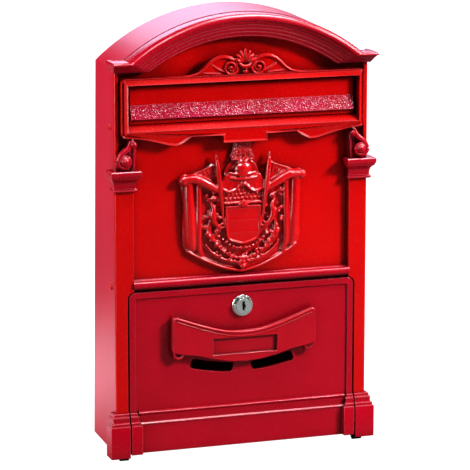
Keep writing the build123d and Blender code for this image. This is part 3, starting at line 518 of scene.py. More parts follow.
swag = through([(51, 298.2), (57, 294.0), (64, 291.0), (72, 291.4), (81, 293.8), (98, 297.8),
                (115, 299.8)])
frame_half = ([(0, 291.5), (21, 291.5), (21, 298.2)] + swag + [(117, 302.7), (117, 349.5)]
              + arc(113, 349.5, 4, 30, 90, 3) + [(0, 353.5)])
slot_hole = oblong(half=111.7, foot=305.2, top=347.5)
surround_out, swag_back, ends_back, top_back = 8.3, 2.6, 3.4, 1.4
line_width, line_rise = 1.7, 1.1
surround = bmesh.new()
face = slab(surround, [both_sides(frame_half), slot_hole], panel_out - 0.5, surround_out,
            merged=False)
# the face stands furthest out along the slot, and falls back at the swags, ends and top
for v in surround.verts:
    if v.co.y > -8:
        continue
    if v.co.z < 302 and abs(v.co.x) > 21.5:
        v.co.y += swag_back
    elif abs(v.co.x) > 112.9 and v.co.z < 350:
        v.co.y += ends_back
    elif v.co.z > 349:
        v.co.y += top_back
bmesh.ops.inset_region(surround, faces=face, thickness=line_width, depth=0.0,
                       use_even_offset=True, use_boundary=True)
bmesh.ops.translate(surround, vec=(0, line_rise, 0),
                    verts=list({v for f in face for v in f.verts}))
piece("cast_surround", surround, ["front_frame"], cast_red, edge=0.55)

sill = bmesh.new()
ramp_side = [(-7, 304.2), (7.7, 304.2), (8.0, 305.0), (0.2, 310.6), (-7, 310.8)]
drawn(sill, ramp_side, -112.2, 112.2)
piece("cast_sill", sill, ["front_frame"], cast_red, edge=0.4)

crown = bmesh.new()
swell = through([(0, 371.0), (6, 369.5), (12, 370.0), (21, 370.5), (29, 367.8), (35, 363.5),
                 (40, 358.6), (47, 354.4), (56, 352.8)])
slab(crown, [both_sides([(0, 350), (56, 350)] + swell[::-1])], panel_out - 0.5, 4.4)
for side in (-1, 1):
    edge_line = [(58, 353.2), (47, 354.0), (40, 358.0), (34, 364.4), (28, 368.6), (21, 370.2),
                 (14, 368.8), (8.5, 364.8), (7.2, 359.5)]
    strand(crown, [(side * x, 4.8, z) for x, z in edge_line],
           [0.9, 1.1, 1.5, 1.8, 2.0, 2.1, 2.0, 1.8, 1.6])
    start = 180 if side > 0 else 0
    curl = scroll(side * 13.4, 5.0, 359.8, 6.3, 1.7, start, side)
    strand(crown, curl, tapered(len(curl), 1.6, 0.8))
    ball(crown, side * 13.4, 6.6, 359.8, 2.0)
    strand(crown, handed(side, [(19, 4.2, 356), (26, 4.4, 358), (31, 4.0, 362.5)]), [1.4, 1.6, 0.8])
    strand(crown, handed(side, [(23, 4.0, 353.8), (33, 4.2, 354.6), (41, 3.8, 355.6)]),
           [1.2, 1.3, 0.6])
for leaf in range(-3, 4):
    lean_out = leaf * radians(22)
    tip = 12.5 - abs(leaf) * 0.8
    strand(crown, [(1.2 * leaf, 4.0, 363.0),
                   (0.55 * tip * sin(lean_out), 7.4, 363.5 + 0.55 * tip * cos(lean_out)),
                   (tip * sin(lean_out), 6.0, 363.0 + tip * cos(lean_out))], [1.2, 2.3, 1.6])
    ball(crown, tip * sin(lean_out), 6.0, 363.0 + tip * cos(lean_out), 1.45)
strand(crown, across([(0, 7.8, 360.2), (4.5, 7.0, 361.6), (8.0, 4.0, 366.0)]),
       [1.0, 1.7, 2.0, 1.7, 1.0])
ball(crown, 0, 5.0, 356.0, 3.0, 3.2, 2.4)
piece("cast_slot_crest", crown, ["front_frame"], cast_red, edge=0.4)

# --- cast front: scroll brackets ----------------------------------------------------------------
# A curled bracket stands on each capital and carries the end of the surround: one large volute
# turned outwards at its foot and a small one turned inwards at its head, joined by a strap.

for side, hand in hands:
    bracket = bmesh.new()
    backing = [(104, 269.4), (121, 269.4), (121.5, 275), (121, 283), (116, 289), (111, 292),
               (110, 299.5), (103, 299.5), (103, 290)]
    slab(bracket, [handed(side, backing)], panel_out - 0.5, 1.2)
    strap = [(105.6, 3.2, 299.5), (108.8, 4.0, 295.5), (110.4, 4.6, 290.6), (114.6, 4.8, 287.4),
             (118.5, 4.8, 284.5), (120.9, 4.8, 279.0)]
    strand(bracket, handed(side, strap), [1.6, 2.2, 2.6, 2.7, 2.5, 2.2])
    curl = scroll(side * 114.6, 4.8, 278.4, 6.0, 1.7, 0 if side > 0 else 180, -side)
    strand(bracket, curl, tapered(len(curl), 2.2, 1.0))
    ball(bracket, side * 114.6, 5.8, 278.4, 4.7, 3.4, 4.9)
    ball(bracket, side * 114.2, 8.2, 278.8, 1.9, 1.6, 2.1)
    curl = scroll(side * 106.2, 4.6, 293.6, 3.3, 1.2, 90, -side)
    strand(bracket, curl, tapered(len(curl), 1.3, 0.8))
    ball(bracket, side * 106.2, 6.2, 293.6, 2.9, 2.6, 2.9)
    ball(bracket, side * 107.4, 7.4, 296.2, 1.6)
    strand(bracket, handed(side, [(105, 1.6, 292), (105.6, 2.6, 281), (106.4, 2.2, 270)]),
           [1.2, 1.8, 1.6])
    strand(bracket, handed(side, [(108.4, 1.4, 288), (109.0, 2.2, 280), (110, 1.8, 270.4)]),
           [1.0, 1.4, 1.2])
    piece(f"cast_bracket_{hand}", bracket, ["front_frame"], shaded_red)

# --- cast front: ledge over the door ------------------------------------------------------------
# A half-round bead on a flat fillet across the panel, just above the door, which throws rain
# clear of the gap. Its rounded top edge is the brightest line on the front.

ledge = bmesh.new()
bead = [(-7, 156.6), (-2.6, 156.6), (-1.6, 157.4), (-1.4, 158.8), (1.2, 159.0), (2.1, 159.9),
        (2.5, 161.5), (2.3, 163.2), (1.3, 164.6), (-0.4, 165.2), (-3.5, 165.4), (-4.6, 166.4),
        (-7, 166.6)]
drawn(ledge, bead, -105.5, 105.5)
piece("cast_ledge", ledge, ["front_frame"], shaded_red)

# --- crest --------------------------------------------------------------------------------------
# A separate casting pinned to the panel: a plain shield on a tied-back mantle, under a draped
# domed cap with a plume. Its folds, beads and garlands are fused as one soft-edged casting.

crest = bmesh.new()
mantle = through([(0, 167.0), (12, 169.0), (24, 174.0), (36, 179.5), (50, 187.0), (56.5, 193.5),
                  (57.5, 210.0), (57.0, 232.0), (59.0, 250.0), (60.5, 257.0), (56.5, 262.0),
                  (49.0, 261.5), (38.0, 265.0), (28.0, 271.0), (26.5, 262.0), (23.0, 250.0),
                  (19.0, 249.0), (17.0, 262.0), (11.0, 271.0), (0, 273.0)], 4)
slab(crest, [both_sides(mantle)], panel_out - 0.6, -3.6)
# folds of the mantle, each hung from the rolled edge and gathered at the foot
for side in (-1, 1):
    folds = [(52.4, 49.8, 254, 191, 5.7, -3.6), (42.6, 42.2, 252, 185, 3.2, -2.2)]
    for top, low, head, toe, size, out in folds:
        strand(crest, handed(side, [(top, out, head), (top - 0.4, out + 0.8, head - 20),
                                    (low + 0.8, out + 0.6, toe + 20), (low, out, toe + 4),
                                    (low - 3.5, out - 1.0, toe)]),
               [size * 0.9, size, size, size * 0.95, size * 0.6])
    # rolled top edge with its end ball
    roll = [(58.0, -0.6, 256.8), (50.0, 0.0, 258.4), (41.0, 0.2, 256.0), (32.0, 0.0, 250.5),
            (24.0, -0.6, 246.0)]
    strand(crest, handed(side, roll), [4.0, 4.1, 4.6, 4.4, 3.6])
    ball(crest, side * 57.6, -0.4, 256.6, 5.2, 4.4, 4.6)
    ball(crest, side * 46.0, 1.0, 257.6, 5.4, 3.6, 4.0, side * 0.15)
    # stretched wing between the roll and the spike, with cords sewn across it
    slab(crest, [handed(side, [(27, 269), (50, 261), (44, 256), (25, 250)])], panel_out, -1.8)
    strand(crest, handed(side, [(27, -1.6, 269.5), (38, -1.2, 265.0), (51, -1.2, 260.8)]), 1.0)
    for rung in range(4):
        reach = 30.5 + 3.4 * rung
        strand(crest, handed(side, [(reach, -1.4, 266.2 - 1.3 * rung),
                                    (reach - 1.6, -1.0, 261.0 - rung)]), 0.75)
    # blade-like spike that runs down as the drape's inner edge
    strand(crest, handed(side, [(26.2, 0.0, 280.0), (25.4, 0.8, 272.0), (24.0, 1.4, 260.0),
                                (22.4, 1.6, 247.0), (20.6, 1.0, 232.0), (19.0, 0.0, 216.0)]),
           [0.8, 2.2, 2.6, 2.3, 1.8, 1.0])
    # small tassel, leaf scrolls and a rosette between the folds and the shield
    ball(crest, side * 28.5, -0.6, 238.5, 3.2, 2.6, 3.4)
    ball(crest, side * 28.5, 1.4, 238.5, 1.4)
    strand(crest, handed(side, [(33.0, -2.6, 236), (27.0, -0.8, 231), (30.5, 0.0, 222),
                                (25.0, 0.0, 212), (21.0, -1.4, 209)]), [1.2, 2.4, 3.0, 2.2, 1.2])
    strand(crest, handed(side, [(31.5, -2.4, 219), (33.5, -1.2, 210), (30.0, -0.8, 200),
                                (24.0, -1.2, 196)]), [1.4, 2.4, 2.2, 1.2])
    curl = scroll(side * 20.2, -0.6, 213.0, 2.6, 1.2, 90, side)
    strand(crest, curl, tapered(len(curl), 1.1, 0.7))
    # two strings of beads that sag under the shield
    for step in range(9):
        share = step / 8
        ball(crest, side * (33.0 - 30.0 * share), 0.4 - 0.6 * share,
             203.5 - 22.0 * sin(share * pi / 2), 1.9 if step % 2 else 2.4, detail=1)
    for step in range(7):
        share = step / 6
        ball(crest, side * (23.5 - 21.0 * share), 0.9, 203.0 - 12.0 * sin(share * pi / 2),
             1.5 if step % 2 else 1.9, detail=1)
    ball(crest, side * 34.0, -0.6, 205.5, 3.0, 2.4, 3.0)
    strand(crest, handed(side, [(36.0, -1.6, 196.0), (31.0, -1.0, 188.0), (20.0, -0.8, 181.0),
                                (8.0, -1.0, 177.5), (0, -1.2, 177.0)]), [0.8, 1.4, 1.6, 1.5, 1.3])
    strand(crest, handed(side, [(54.0, -2.6, 190.5), (44.0, -2.4, 184.5), (30.0, -2.2, 177.5),
                                (14.0, -2.2, 171.0), (0, -2.0, 168.6)]), [1.3, 1.6, 1.8, 1.7, 1.5])
    strand(crest, handed(side, [(16.5, 0.8, 229.4), (16.2, 0.9, 212), (15.2, 0.8, 199.5),
                                (8.0, 0.8, 196.6), (0, 0.8, 194.6)]), 0.9)
# plain shield with a narrow raised border and two faint bars
slab(crest, [both_sides([(0, 194.5), (8, 196.5), (15.5, 199.0), (16.6, 212), (16.8, 229.5),
                         (0, 229.5)])], panel_out, 0.6)
strand(crest, across([(0, 1.1, 229.9), (17, 0.8, 229.6)]), 1.0)
strand(crest, across([(0, 0.9, 233.4), (18, 0.4, 233.0)]), 1.1)
for height in (206.0, 217.5):
    strand(crest, [(-15.5, 0.35, height), (15.5, 0.35, height)], 0.55)
ball(crest, 0, 1.6, 232.2, 4.8, 2.4, 3.0)
ball(crest, 0, 2.8, 235.2, 2.0, 1.6, 1.6)
# beaded field behind the cap's drape
slab(crest, [[(-19, 229), (19, 229), (21, 252), (-21, 252)]], panel_out, -1.6)
for row, height in enumerate((237.0, 240.6, 244.2)):
    for step in range(-4, 5):
        ball(crest, step * 4.0 + (row % 2) * 2.0, -1.3, height, 1.35, detail=1)
# draped cap with its brim, dome and pointed opening
drape = through([(0, 252.4), (3.0, 249.6), (7.0, 245.4), (12.5, 243.2), (17.5, 244.2),
                 (21.0, 248.6), (20.4, 253.0), (17.0, 260.0)], 4) + [(0, 261.0)]
slab(crest, [both_sides(drape)], panel_out, 0.6)
strand(crest, across([(0, 1.0, 252.4), (3, 1.0, 249.6), (7, 1.0, 245.6), (12.5, 1.0, 243.4),
                      (17.5, 0.6, 244.4), (21, -0.2, 248.6)]), 1.15)
for pleat in range(-2, 3):
    strand(crest, [(pleat * 4.6, -0.1, 256.5), (pleat * 6.6, 0.3, 248.5 - abs(pleat) * 0.6)],
           [0.6, 1.0])
ball(crest, 0, -1.0, 264.6, 9.2, 5.6, 7.4)
strand(crest, across([(0, 2.4, 255.6), (11, 1.2, 256.2), (17.6, -1.6, 257.6)]),
       [1.2, 1.5, 1.7, 1.5, 1.2])
strand(crest, across([(0, 3.0, 259.8), (8, 1.8, 260.2), (13.4, -1.2, 261.6)]),
       [1.2, 1.5, 1.6, 1.5, 1.2])
ball(crest, 0, -1.4, 271.6, 6.0, 4.2, 2.4)
# plume
plume_foot = 274.0
slab(crest, [both_sides([(0, 272.5), (9.5, 273.0), (12.2, 276.0), (9.0, 284.0), (8.4, 290.6),
                         (0, 290.6)])], panel_out, -3.2)
for barb in range(-4, 5):
    stem = -1.6 if barb % 2 else -2.8
    strand(crest, [(barb * 2.7, stem - 0.6, 274.2), (barb * 2.3, stem + 0.8, 279.0),
                   (barb * 2.0, stem, 284.4), (barb * 2.0 + 0.6, stem + 0.6, 290.2)],
           [0.9, 1.5, 1.0, 1.2])
for step in range(5):
    strand(crest, [(-9.6 + step * 0.5, -1.6, 276.2 + 3.0 * step),
                   (0, 0.0, 279.0 + 2.6 * step), (8.6, -1.4, 281.6 + 2.0 * step)], 0.75)
strand(crest, across([(0, 0.2, 272.8), (11.4, -1.2, 274.6)]), 1.5)
# fruit and leaves heaped in the garland and up both sides of the shield
scatter = random.Random(7)
for _ in range(70):
    share = scatter.random()
    turn_round = radians(180 + 180 * share)
    reach = scatter.uniform(0.72, 1.0)
    x, height = 33.0 * reach * cos(turn_round), 206.0 + 29.0 * reach * sin(turn_round)
    ball(crest, x, scatter.uniform(-1.8, 0.6), height, scatter.uniform(1.2, 2.2),
         tall=scatter.uniform(1.0, 1.9), turn=scatter.uniform(0, pi), detail=1)
for _ in range(56):
    x = scatter.choice((-1, 1)) * scatter.uniform(21.0, 38.0)
    ball(crest, x, scatter.uniform(-2.2, 0.4), scatter.uniform(204, 246),
         scatter.uniform(1.2, 2.4), tall=scatter.uniform(1.4, 3.2), turn=scatter.uniform(0, pi),
         detail=1)
# hanging tassel at the foot
for height, size in ((181.5, 2.2), (177.6, 2.6), (173.4, 3.0)):
    ball(crest, 0, 0.2, height, size, size * 0.8, size * 0.9)
for side in (-1, 1):
    ball(crest, side * 3.6, -0.4, 175.4, 1.8, detail=1)
# two pins on the back
for height in (196.0, 248.0):
    slab(crest, [arc(0, height, 1.5, 0, 345, 23)], -12.5, panel_out)
bmesh.ops.recalc_face_normals(crest, faces=crest.faces[:])
crest_red = painted("crest_red", (0.84, 0.001, 0.006), (0.74, 0.0, 0.004), (1.0, 0.42, 0.50),
                    relief=0.3, coat=0.9, wear_and_highlight=0.6, recess=0.6, coat_roughness=0.2, coat_ior=1.4)
draft_mesh = bpy.data.meshes.new("crest_draft")
crest.to_mesh(draft_mesh)
crest.free()
draft = placed("crest_draft", draft_mesh)
fuse = draft.modifiers.new("fuse", "REMESH")
fuse.mode = "VOXEL"
fuse.voxel_size = 0.69
ease = draft.modifiers.new("ease", "SMOOTH")
ease.factor = 0.5
ease.iterations = 2
bpy.context.view_layer.update()
fused = bpy.data.meshes.new_from_object(
    draft.evaluated_get(bpy.context.evaluated_depsgraph_get()))
bpy.data.objects.remove(draft)
casting = bmesh.new()
casting.from_mesh(fused)
# the plume's feathered face
for v in casting.verts:
    if v.co.z > plume_foot and v.co.y < 2:
        near = noise.voronoi(v.co * 0.55)[0]
        v.co.y += 1.0 - 2.0 * min(near[1] - near[0], 0.8)
piece("crest", casting, ["crest_badge"], crest_red)

# --- letter flap --------------------------------------------------------------------------------
# Folded aluminium flap hung from a rod at its top edge. The sloping grip along its front was
# beaten with a ball hammer before painting, so it glitters.

flap_half = 108.0
flap = bmesh.new()
blade = [(-2.5, 311.1), (0, 311.1), (0, 315.2), (2.6, 315.6), (3.0, 316.4), (0.4, 327.6),
         (0, 329.0), (0, 343.4), (-0.8, 345.2), (-2.6, 346.0), (-4.4, 345.2), (-5.2, 343.4),
         (-4.4, 341.6), (-2.5, 340.8)]
drawn(flap, blade, -flap_half, flap_half)
flap_red = painted("flap_red", (0.80, 0.001, 0.001), (0.72, 0.0, 0.001), (1.0, 0.3, 0.35),
                   coat=0.2, wear_and_highlight=0.2)
piece("flap", flap, ["letter_flap"], flap_red, body="flap", edge=0.35)

grip = bmesh.new()
grip_height, grip_thick, hammer_scale = 13.4, 1.5, 0.68
bmesh.ops.create_grid(grip, x_segments=400, y_segments=25, size=0.5)
bmesh.ops.transform(grip, matrix=Matrix.Diagonal((2 * flap_half - 1.0, grip_height, 1, 1)),
                    verts=grip.verts[:])
for v in grip.verts:
    near = noise.voronoi(Vector((v.co.x * hammer_scale, v.co.y * hammer_scale, 1.7)))[0]
    dent = min(near[1] - near[0], 0.45) - 0.25 + 0.35 * noise.noise(v.co * 1.1)
    rim_fade = min(1.0, grip_height / 2 - abs(v.co.y))
    v.co.z = dent * rim_fade
slope = atan2(3.4, 12.6)
bmesh.ops.transform(grip, verts=grip.verts[:],
                    matrix=Matrix.Translation((0, -1.95, 322.3))
                    @ Matrix.Rotation(radians(90) - slope, 4, "X"))
thick = bmesh.ops.extrude_face_region(grip, geom=grip.faces[:])["geom"]
bmesh.ops.translate(grip, vec=(0, grip_thick, 0), verts=only(BMVert, thick))
# its paler, pinker red is a painted reflection of the light from above on the sloping grip
grip_red_sheen = painted("grip_red_sheen", (0.64, 0.012, 0.075), (0.54, 0.01, 0.04), (1.0, 0.50, 0.60),
                   gloss=0.22, grain=1400.0, coat=1.0, wear_and_highlight=0.6)
piece("flap_grip", grip, ["letter_flap"], grip_red_sheen, body="flap")

# --- door ---------------------------------------------------------------------------------------
# Cast drop-down door: a sunk field in a raised border, its own half of the plinth, and two
# curved view slots under the hood. It swings on pins at its foot.


def view_slot(side):
    """A curved slot with round ends that follows the hood's lower edge."""
    middle = [(8.9 + 41.4 * step / 8, 77.4 + 6.6 * (step / 8) ** 1.5) for step in range(9)]
    rise, end = 4.7, 3.4
    lower = [(x + 0.5, z - rise) for x, z in middle]
    upper = [(x - 0.5, z + rise) for x, z in middle]
    near_low, far_low, far_up, near_up = lower[0], lower[-1], upper[-1], upper[0]
    ring = arc(near_low[0] + end, near_low[1] + end + 0.3, end, 180, 262, 5)
    ring += lower[2:-2] + arc(far_low[0] - end, far_low[1] + end - 0.9, end, 290, 372, 5)
    ring += arc(far_up[0] - end, far_up[1] - end - 0.5, end, 12, 100, 5)
    ring += upper[-3:1:-1] + arc(near_up[0] + end, near_up[1] - end, end, 90, 180, 5)
    return handed(side, ring)


door_half, door_low, door_top, door_corner = 110.0, 2.7, 155.0, 6.0
door_edge = ([(0, door_low), (door_half, door_low)]
             + arc(door_half - door_corner, door_top - door_corner, door_corner, 0, 90, 6)
             + [(0, door_top)])
door = bmesh.new()
lock_hole = arc(0, lock_height, 8.1, 0, 345, 23)
slab(door, [both_sides(door_edge), view_slot(1), view_slot(-1), lock_hole], -5.0, -1.5)
field_half, field_foot, field_top, field_corner = 104.0, 40.5, 149.0, 2.0
field = ([(0, field_foot), (field_half, field_foot)]
         + arc(field_half - field_corner, field_top - field_corner, field_corner, 0, 90, 3)
         + [(0, field_top)])
slab(door, [both_sides(door_edge), both_sides(field)], -3.5, 0.0)
piece("door_leaf", door, ["door"], shaded_red, body="door", edge=0.55)

door_foot = bmesh.new()
skirt = [(-4.8, 2.75), (0.4, 2.75), (0.8, 3.2), (0.8, 29.2), (1.5, 30.0), (1.7, 30.8), (1.0, 31.6),
         (0.0, 32.2), (-0.7, 34.0), (-0.8, 36.5), (-0.2, 38.6), (1.0, 39.8), (1.7, 40.6),
         (1.7, 41.4), (1.1, 42.0), (-0.4, 42.3), (-2.0, 43.2), (-4.8, 43.4)]
drawn(door_foot, skirt, -101.5, 101.5)
# the door's half of each plinth block, cut off at the gap under the door
half_block = [(max(h, door_low), out, over) for h, out, over in plinth if h != 0.5]
half_block.insert(1, (3.2, 6.3, 7.0))
for side in (-1, 1):
    before = set(door_foot.verts)
    tiers(door_foot, half_block, 0.0, 3.4, backs=(4.8, 4.8))
    fresh = [v for v in door_foot.verts if v not in before]
    bmesh.ops.transform(door_foot, matrix=Matrix.Diagonal((-1, 1, 1, 1)), verts=fresh)
    bmesh.ops.translate(door_foot, vec=(door_half, 0, 0), verts=fresh)
    bmesh.ops.transform(door_foot, matrix=Matrix.Diagonal((side, 1, 1, 1)), verts=fresh)
piece("door_plinth", door_foot, ["door"], shaded_red, body="door")

# --- hood ---------------------------------------------------------------------------------------
# The curved hood over the view slots, cast in one with the door and hollow from below, so that
# fingers can pull the door by it. Its rolled top edge sags, and it has a sunk name-card field.

hood = bmesh.new()
hood_top = through([(0, 113.0), (16, 114.0), (32, 118.0), (53, 125.0), (66.5, 129.8)])
hood_low = through([(0, 84.3), (15, 85.2), (30, 88.3), (45, 92.2), (58, 94.4), (66.0, 96.0)])
shell = hood_low + [(69.0, 96.8), (70.0, 98.4), (70.0, 127.8), (68.9, 129.8)] + hood_top[::-1]
card_half, card_floor_out, hood_out = 31.5, 4.0, 7.2
card = oblong(card_half, foot=91.8, top=107.2)
slab(hood, [both_sides(shell)], 2.6, card_floor_out)
slab(hood, [both_sides(shell), card], card_floor_out - 0.2, hood_out)
wall = ([(0, 109.4)] + [(x * 0.957, z - 3.2) for x, z in hood_top[1:]]
        + [(66.4, 124.6), (66.4, 95.6), (69.2, 97.0), (70.0, 98.4), (70.0, 127.8), (68.9, 129.8)]
        + hood_top[::-1])
slab(hood, [both_sides(wall)], -3.0, 3.4)
hood_red = painted("hood_red", (0.68, 0.002, 0.022), (0.60, 0.001, 0.017), (1.0, 0.45, 0.54),
                   gloss=0.24, coat=0.4, wear_and_highlight=0.6)
piece("hood", hood, ["door"], hood_red, body="door", edge=0.7, segments=3)

hood_lip = bmesh.new()
lip = [(66.5, 129.9), (53, 124.9), (42, 121.0), (32, 117.6), (16, 113.6), (0, 112.4)]
lip = lip + [(-x, z) for x, z in lip[-2::-1]]
strand(hood_lip, [(x, 6.6, z - 0.8) for x, z in lip], 1.45)
strand(hood_lip, [(x * 0.985, 6.6, z - 4.2) for x, z in lip], 1.0)
for side in (-1, 1):
    strand(hood_lip, handed(side, [(66.5, 6.4, 129.1), (68.6, 6.3, 128.6), (69.0, 6.2, 126.0),
                                   (69.0, 6.0, 110.0), (68.8, 5.6, 97.5)]),
           [1.3, 1.3, 1.1, 0.9, 1.0])
    strand(hood_lip, handed(side, [(68.8, 5.0, 100), (68.6, 4.6, 93.0), (64.5, 4.4, 90.2),
                                   (60.2, 4.6, 92.0), (59.4, 5.6, 97.0)]),
           [1.4, 1.5, 1.5, 1.4, 1.2])
strand(hood_lip, across([(0, 6.9, 91.4), (card_half, 6.9, 91.4)]), 0.75)
strand(hood_lip, [(-31.6, 6.9, 91.4), (-31.6, 6.9, 107.4)], 0.6)
piece("hood_lip", hood_lip, ["door"], hood_red, body="door")

# --- lock ---------------------------------------------------------------------------------------
# A die-cast cam lock with a chromed flange and plug face; the nut, cam, washer and screw behind
# the door are zinc-plated steel, and the plug turns with the cam.


def metal(name, bright, dull, gloss, grain):
    """Plated metal with soft tarnish, fine marks and painted shade in its recesses."""
    plated, shader = surfaced(name, 0.1, {
        "Colour": (*bright, 1), "Deep Colour": (*dull, 1), "Cloud Scale": 260.0,
        "Grain Scale": grain, "Gloss": gloss, "Edge Wear And Highlight Amount": 0.0, "Recess Value": 0.02,
        "Recess Reach": 0.004})
    shader["Metallic"].default_value = 1.0
    return plated


barrel_radius, flange_radius, bore_radius, plug_radius = 8.0, 10.2, 7.5, 7.35
lock_seat = seat @ Matrix.Translation((0, 0, lock_height))
chrome = metal("lock_chrome", (0.97, 1.0, 0.96), (0.84, 0.92, 0.85), gloss=0.27, grain=1800.0)
zinc = metal("lock_zinc", (0.70, 0.69, 0.62), (0.58, 0.57, 0.52), gloss=0.34, grain=1500.0)
steel = metal("bare_steel", (0.34, 0.34, 0.35), (0.22, 0.22, 0.23), gloss=0.40, grain=1500.0)


def turned_ring(bm, profile):
    """A part turned on the lathe: (radius, out) points spun round the lock's axis."""
    points = [bm.verts.new((radius, -out, 0)) for radius, out in profile]
    loop = [bm.edges.new(pair) for pair in zip(points, points[1:] + points[:1])
            if pair[0].co.x + pair[1].co.x > 0.01]
    bmesh.ops.spin(bm, geom=points + loop, cent=(0, 0, 0), axis=(0, 1, 0), angle=2 * pi, steps=48,
                   use_merge=True)


barrel = bmesh.new()
turned_ring(barrel, [(5.6, -17.6), (barrel_radius, -17.6), (barrel_radius, -1.5),
                     (flange_radius, -1.5), (flange_radius, -0.6), (9.7, 0.1), (9.1, 0.3),
                     (bore_radius, 0.3), (bore_radius, -2.4), (5.6, -2.4)])
# a raised face ring with two notches near its top
notched = []
for step in range(72):
    angle = step * 5
    reach = 7.62 if 125 <= angle <= 160 or 30 <= angle <= 60 else 8.9
    notched.append((reach * cos(radians(angle)), reach * sin(radians(angle))))
bore = arc(0, 0, bore_radius, 0, 350, 35)
slab(barrel, [notched, bore], 0.1, 2.2)
piece("lock_barrel", barrel, ["lock_body"], chrome, body="door", edge=0.25,
      at=lock_seat)

core = bmesh.new()
turned_ring(core, [(0.001, -18.1), (5.5, -18.1), (5.5, -2.45), (plug_radius, -2.45),
                   (plug_radius, -2.2), (0.001, -2.2)])
keyway = [(-1.2, -4.0), (1.2, -4.0), (1.2, -1.6), (2.2, -0.8), (2.2, 0.8), (1.2, 1.6), (1.2, 4.4),
          (-1.2, 4.4), (-1.2, 2.2), (-2.0, 1.4), (-1.2, 0.4)]
slab(core, [arc(0, 0, plug_radius, 0, 350, 35), keyway], -2.4, 2.8)
piece("lock_core", core, ["lock_plug"], chrome, body="lock", edge=0.3,
      at=lock_seat)
finish_nodes(["lock_nut", "lock_cam", "lock_cam_washer", "lock_cam_screw"], zinc)

# --- fixings, rod, hinge pins and bushes --------------------------------------------------------
# Plated steel rod, clips and pins, painted screws through the box's sides, black nylon bushes
# that show as two nubs under the plinth, and rubber buffers behind the flap.


def moulded(name, colour, scuffed, gloss, grain):
    """Moulded black plastic or rubber with a fine mould texture, paler scuffs and a little painted
    shade in its recesses.
    """
    stuff, shader = surfaced(name, 0.3, {
        "Colour": (*scuffed, 1), "Deep Colour": (*colour, 1), "Cloud Scale": 300.0,
        "Grain Scale": grain, "Gloss": gloss, "Edge Wear And Highlight Amount": 0.0, "Recess Value": 0.8})
    shader["Specular IOR Level"].default_value = 0.15
    return stuff


nylon = moulded("black_nylon", (0.008, 0.008, 0.009), (0.02, 0.02, 0.022), gloss=0.55,
                grain=2200.0)
rubber = moulded("black_rubber", (0.02, 0.02, 0.02), (0.06, 0.06, 0.06), gloss=0.75,
                 grain=1600.0)
finish_nodes(["hinge_bush_left", "hinge_bush_right"], nylon)
finish_nodes(["flap_buffers"], rubber)
finish_nodes(["flap_hinge_rod", "flap_rod_clips", "hinge_pin_left", "hinge_pin_right",
              "crest_clips", "back_rivets"], steel)
finish_nodes(["side_screws"], cast_red)

# --- studio -------------------------------------------------------------------------------------
# A pale floor under the box; a key light at its right, one overhead, one behind and one at its
# left; four sheen lights that show only in the paint's gloss; and a long lens that looks a little
# down on it from the left.

floor_mesh = bmesh.new()
bmesh.ops.create_grid(floor_mesh, x_segments=2, y_segments=2, size=12.0)
bmesh.ops.translate(floor_mesh, vec=(0, 0, cad_box[0].z - 0.0005), verts=floor_mesh.verts[:])
mesh = bpy.data.meshes.new("floor")
floor_mesh.to_mesh(mesh)
floor_mesh.free()
floor = placed("floor", mesh)
# white to the camera and dark in the gloss, but for a pool beside the box that glows only in the
# gloss, as a painted reflection on the box's lower side
paper = bpy.data.materials.new("studio_paper")
paper.use_nodes = True
tree = paper.node_tree
shader = tree.nodes["Principled BSDF"]
rays = node(tree, "ShaderNodeLightPath")
reach = node(tree, "ShaderNodeVectorMath",
             {0: node(tree, "ShaderNodeTexCoord").outputs["Object"], 1: (-0.19, 0.22, 0.0)},
             operation="DISTANCE").outputs["Value"]
pool = mixed(tree, ramp(tree, reach, 0.36, 0.05), (0.01, 0.01, 0.01, 1), (2.0, 2.0, 2.2, 1))
seen = mixed(tree, rays.outputs["Is Glossy Ray"], (0.06, 0.06, 0.06, 1), pool)
seen = mixed(tree, rays.outputs["Is Camera Ray"], seen, (0.97, 0.97, 0.96, 1))
shader.inputs["Base Color"].default_value = (0.25, 0.25, 0.25, 1)
shader.inputs["Roughness"].default_value = 0.9
shader.inputs["Specular IOR Level"].default_value = 0.0
tree.links.new(seen, shader.inputs["Emission Color"])
shader.inputs["Emission Strength"].default_value = 0.94
mesh.materials.append(paper)

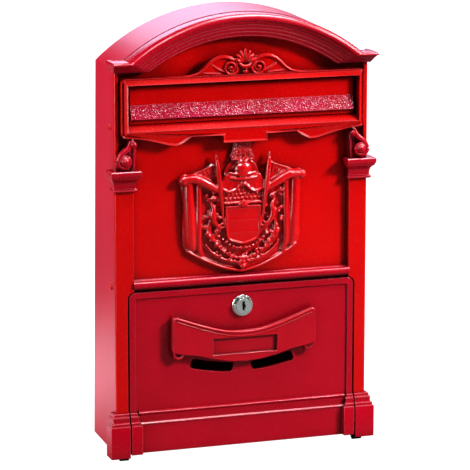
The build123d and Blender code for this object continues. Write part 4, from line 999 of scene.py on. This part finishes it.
world = bpy.data.worlds.new("studio")
bpy.context.scene.world = world
world.use_nodes = True
tree = world.node_tree
rays = node(tree, "ShaderNodeLightPath")
sky = mixed(tree, rays.outputs["Is Camera Ray"], (0.025, 0.025, 0.025, 1), (1.0, 1.0, 0.985, 1))
tree.links.new(sky, tree.nodes["Background"].inputs["Color"])
tree.nodes["Background"].inputs["Strength"].default_value = 1.0
bpy.context.scene.view_settings.view_transform = "Standard"
bpy.context.scene.view_settings.look = "Medium High Contrast"

middle = (cad_box[0] + cad_box[1]) / 2


def softbox(name, place, size, power, tint=(1, 1, 1), sheen_only=False):
    """A soft light aimed at the middle of the box; a sheen light shows only in the gloss."""
    light = bpy.data.lights.new(name, "AREA")
    light.shape = "RECTANGLE"
    light.size, light.size_y = size
    light.energy = power
    light.color = tint
    lamp = placed(name, light)
    lamp.location = middle + Vector(place)
    lamp.rotation_euler = (-Vector(place)).to_track_quat("-Z", "Y").to_euler()
    lamp.visible_diffuse = not sheen_only


cool, violet, rosy = (0.62, 0.72, 1.0), (0.95, 0.88, 1.0), (1.0, 0.95, 1.0)
softbox("key", (0.95, -0.8, 0.72), size=(0.28, 0.28), power=17)
softbox("top", (0.4, -0.3, 1.35), size=(0.35, 0.25), power=8)
softbox("back", (0.55, 2.2, 1.15), size=(1.6, 1.1), power=25, tint=cool)
softbox("side", (-1.7, 0.05, 0.6), size=(0.6, 0.8), power=23)
for name, place, size, power, tint in (
        ("edge_sheen", (0.45, 0.05, 1.35), (0.6, 0.8), 52, violet),
        ("corner_sheen", (-1.35, -0.75, 0.3), (0.22, 1.2), 15, rosy),
        ("right_sheen", (1.2, -0.2, 1.0), (0.45, 0.45), 22, rosy),
        ("left_sheen", (-0.3, -0.6, 1.25), (0.4, 0.4), 18, rosy)):
    softbox(name, place, size, power, tint, sheen_only=True)

camera = bpy.data.cameras.new("camera")
camera.lens = 200.3
camera.sensor_width = 36.0
camera.clip_start = 0.1
camera.clip_end = 60.0
yaw, pitch, distance = radians(18.96), radians(11.433), 2418.3
aim = Vector((-6.9, 2.1, 202.6))
forward = Vector((sin(yaw) * cos(pitch), cos(yaw) * cos(pitch), -sin(pitch)))
right = Vector((cos(yaw), -sin(yaw), 0))
up = right.cross(forward)
eye = seat @ (aim - forward * distance)
look = turned.to_3x3() @ Matrix((right, up, -forward)).transposed()
viewer = placed("camera", camera)
viewer.matrix_world = Matrix.Translation(eye) @ look.to_4x4()
bpy.context.scene.camera = viewer
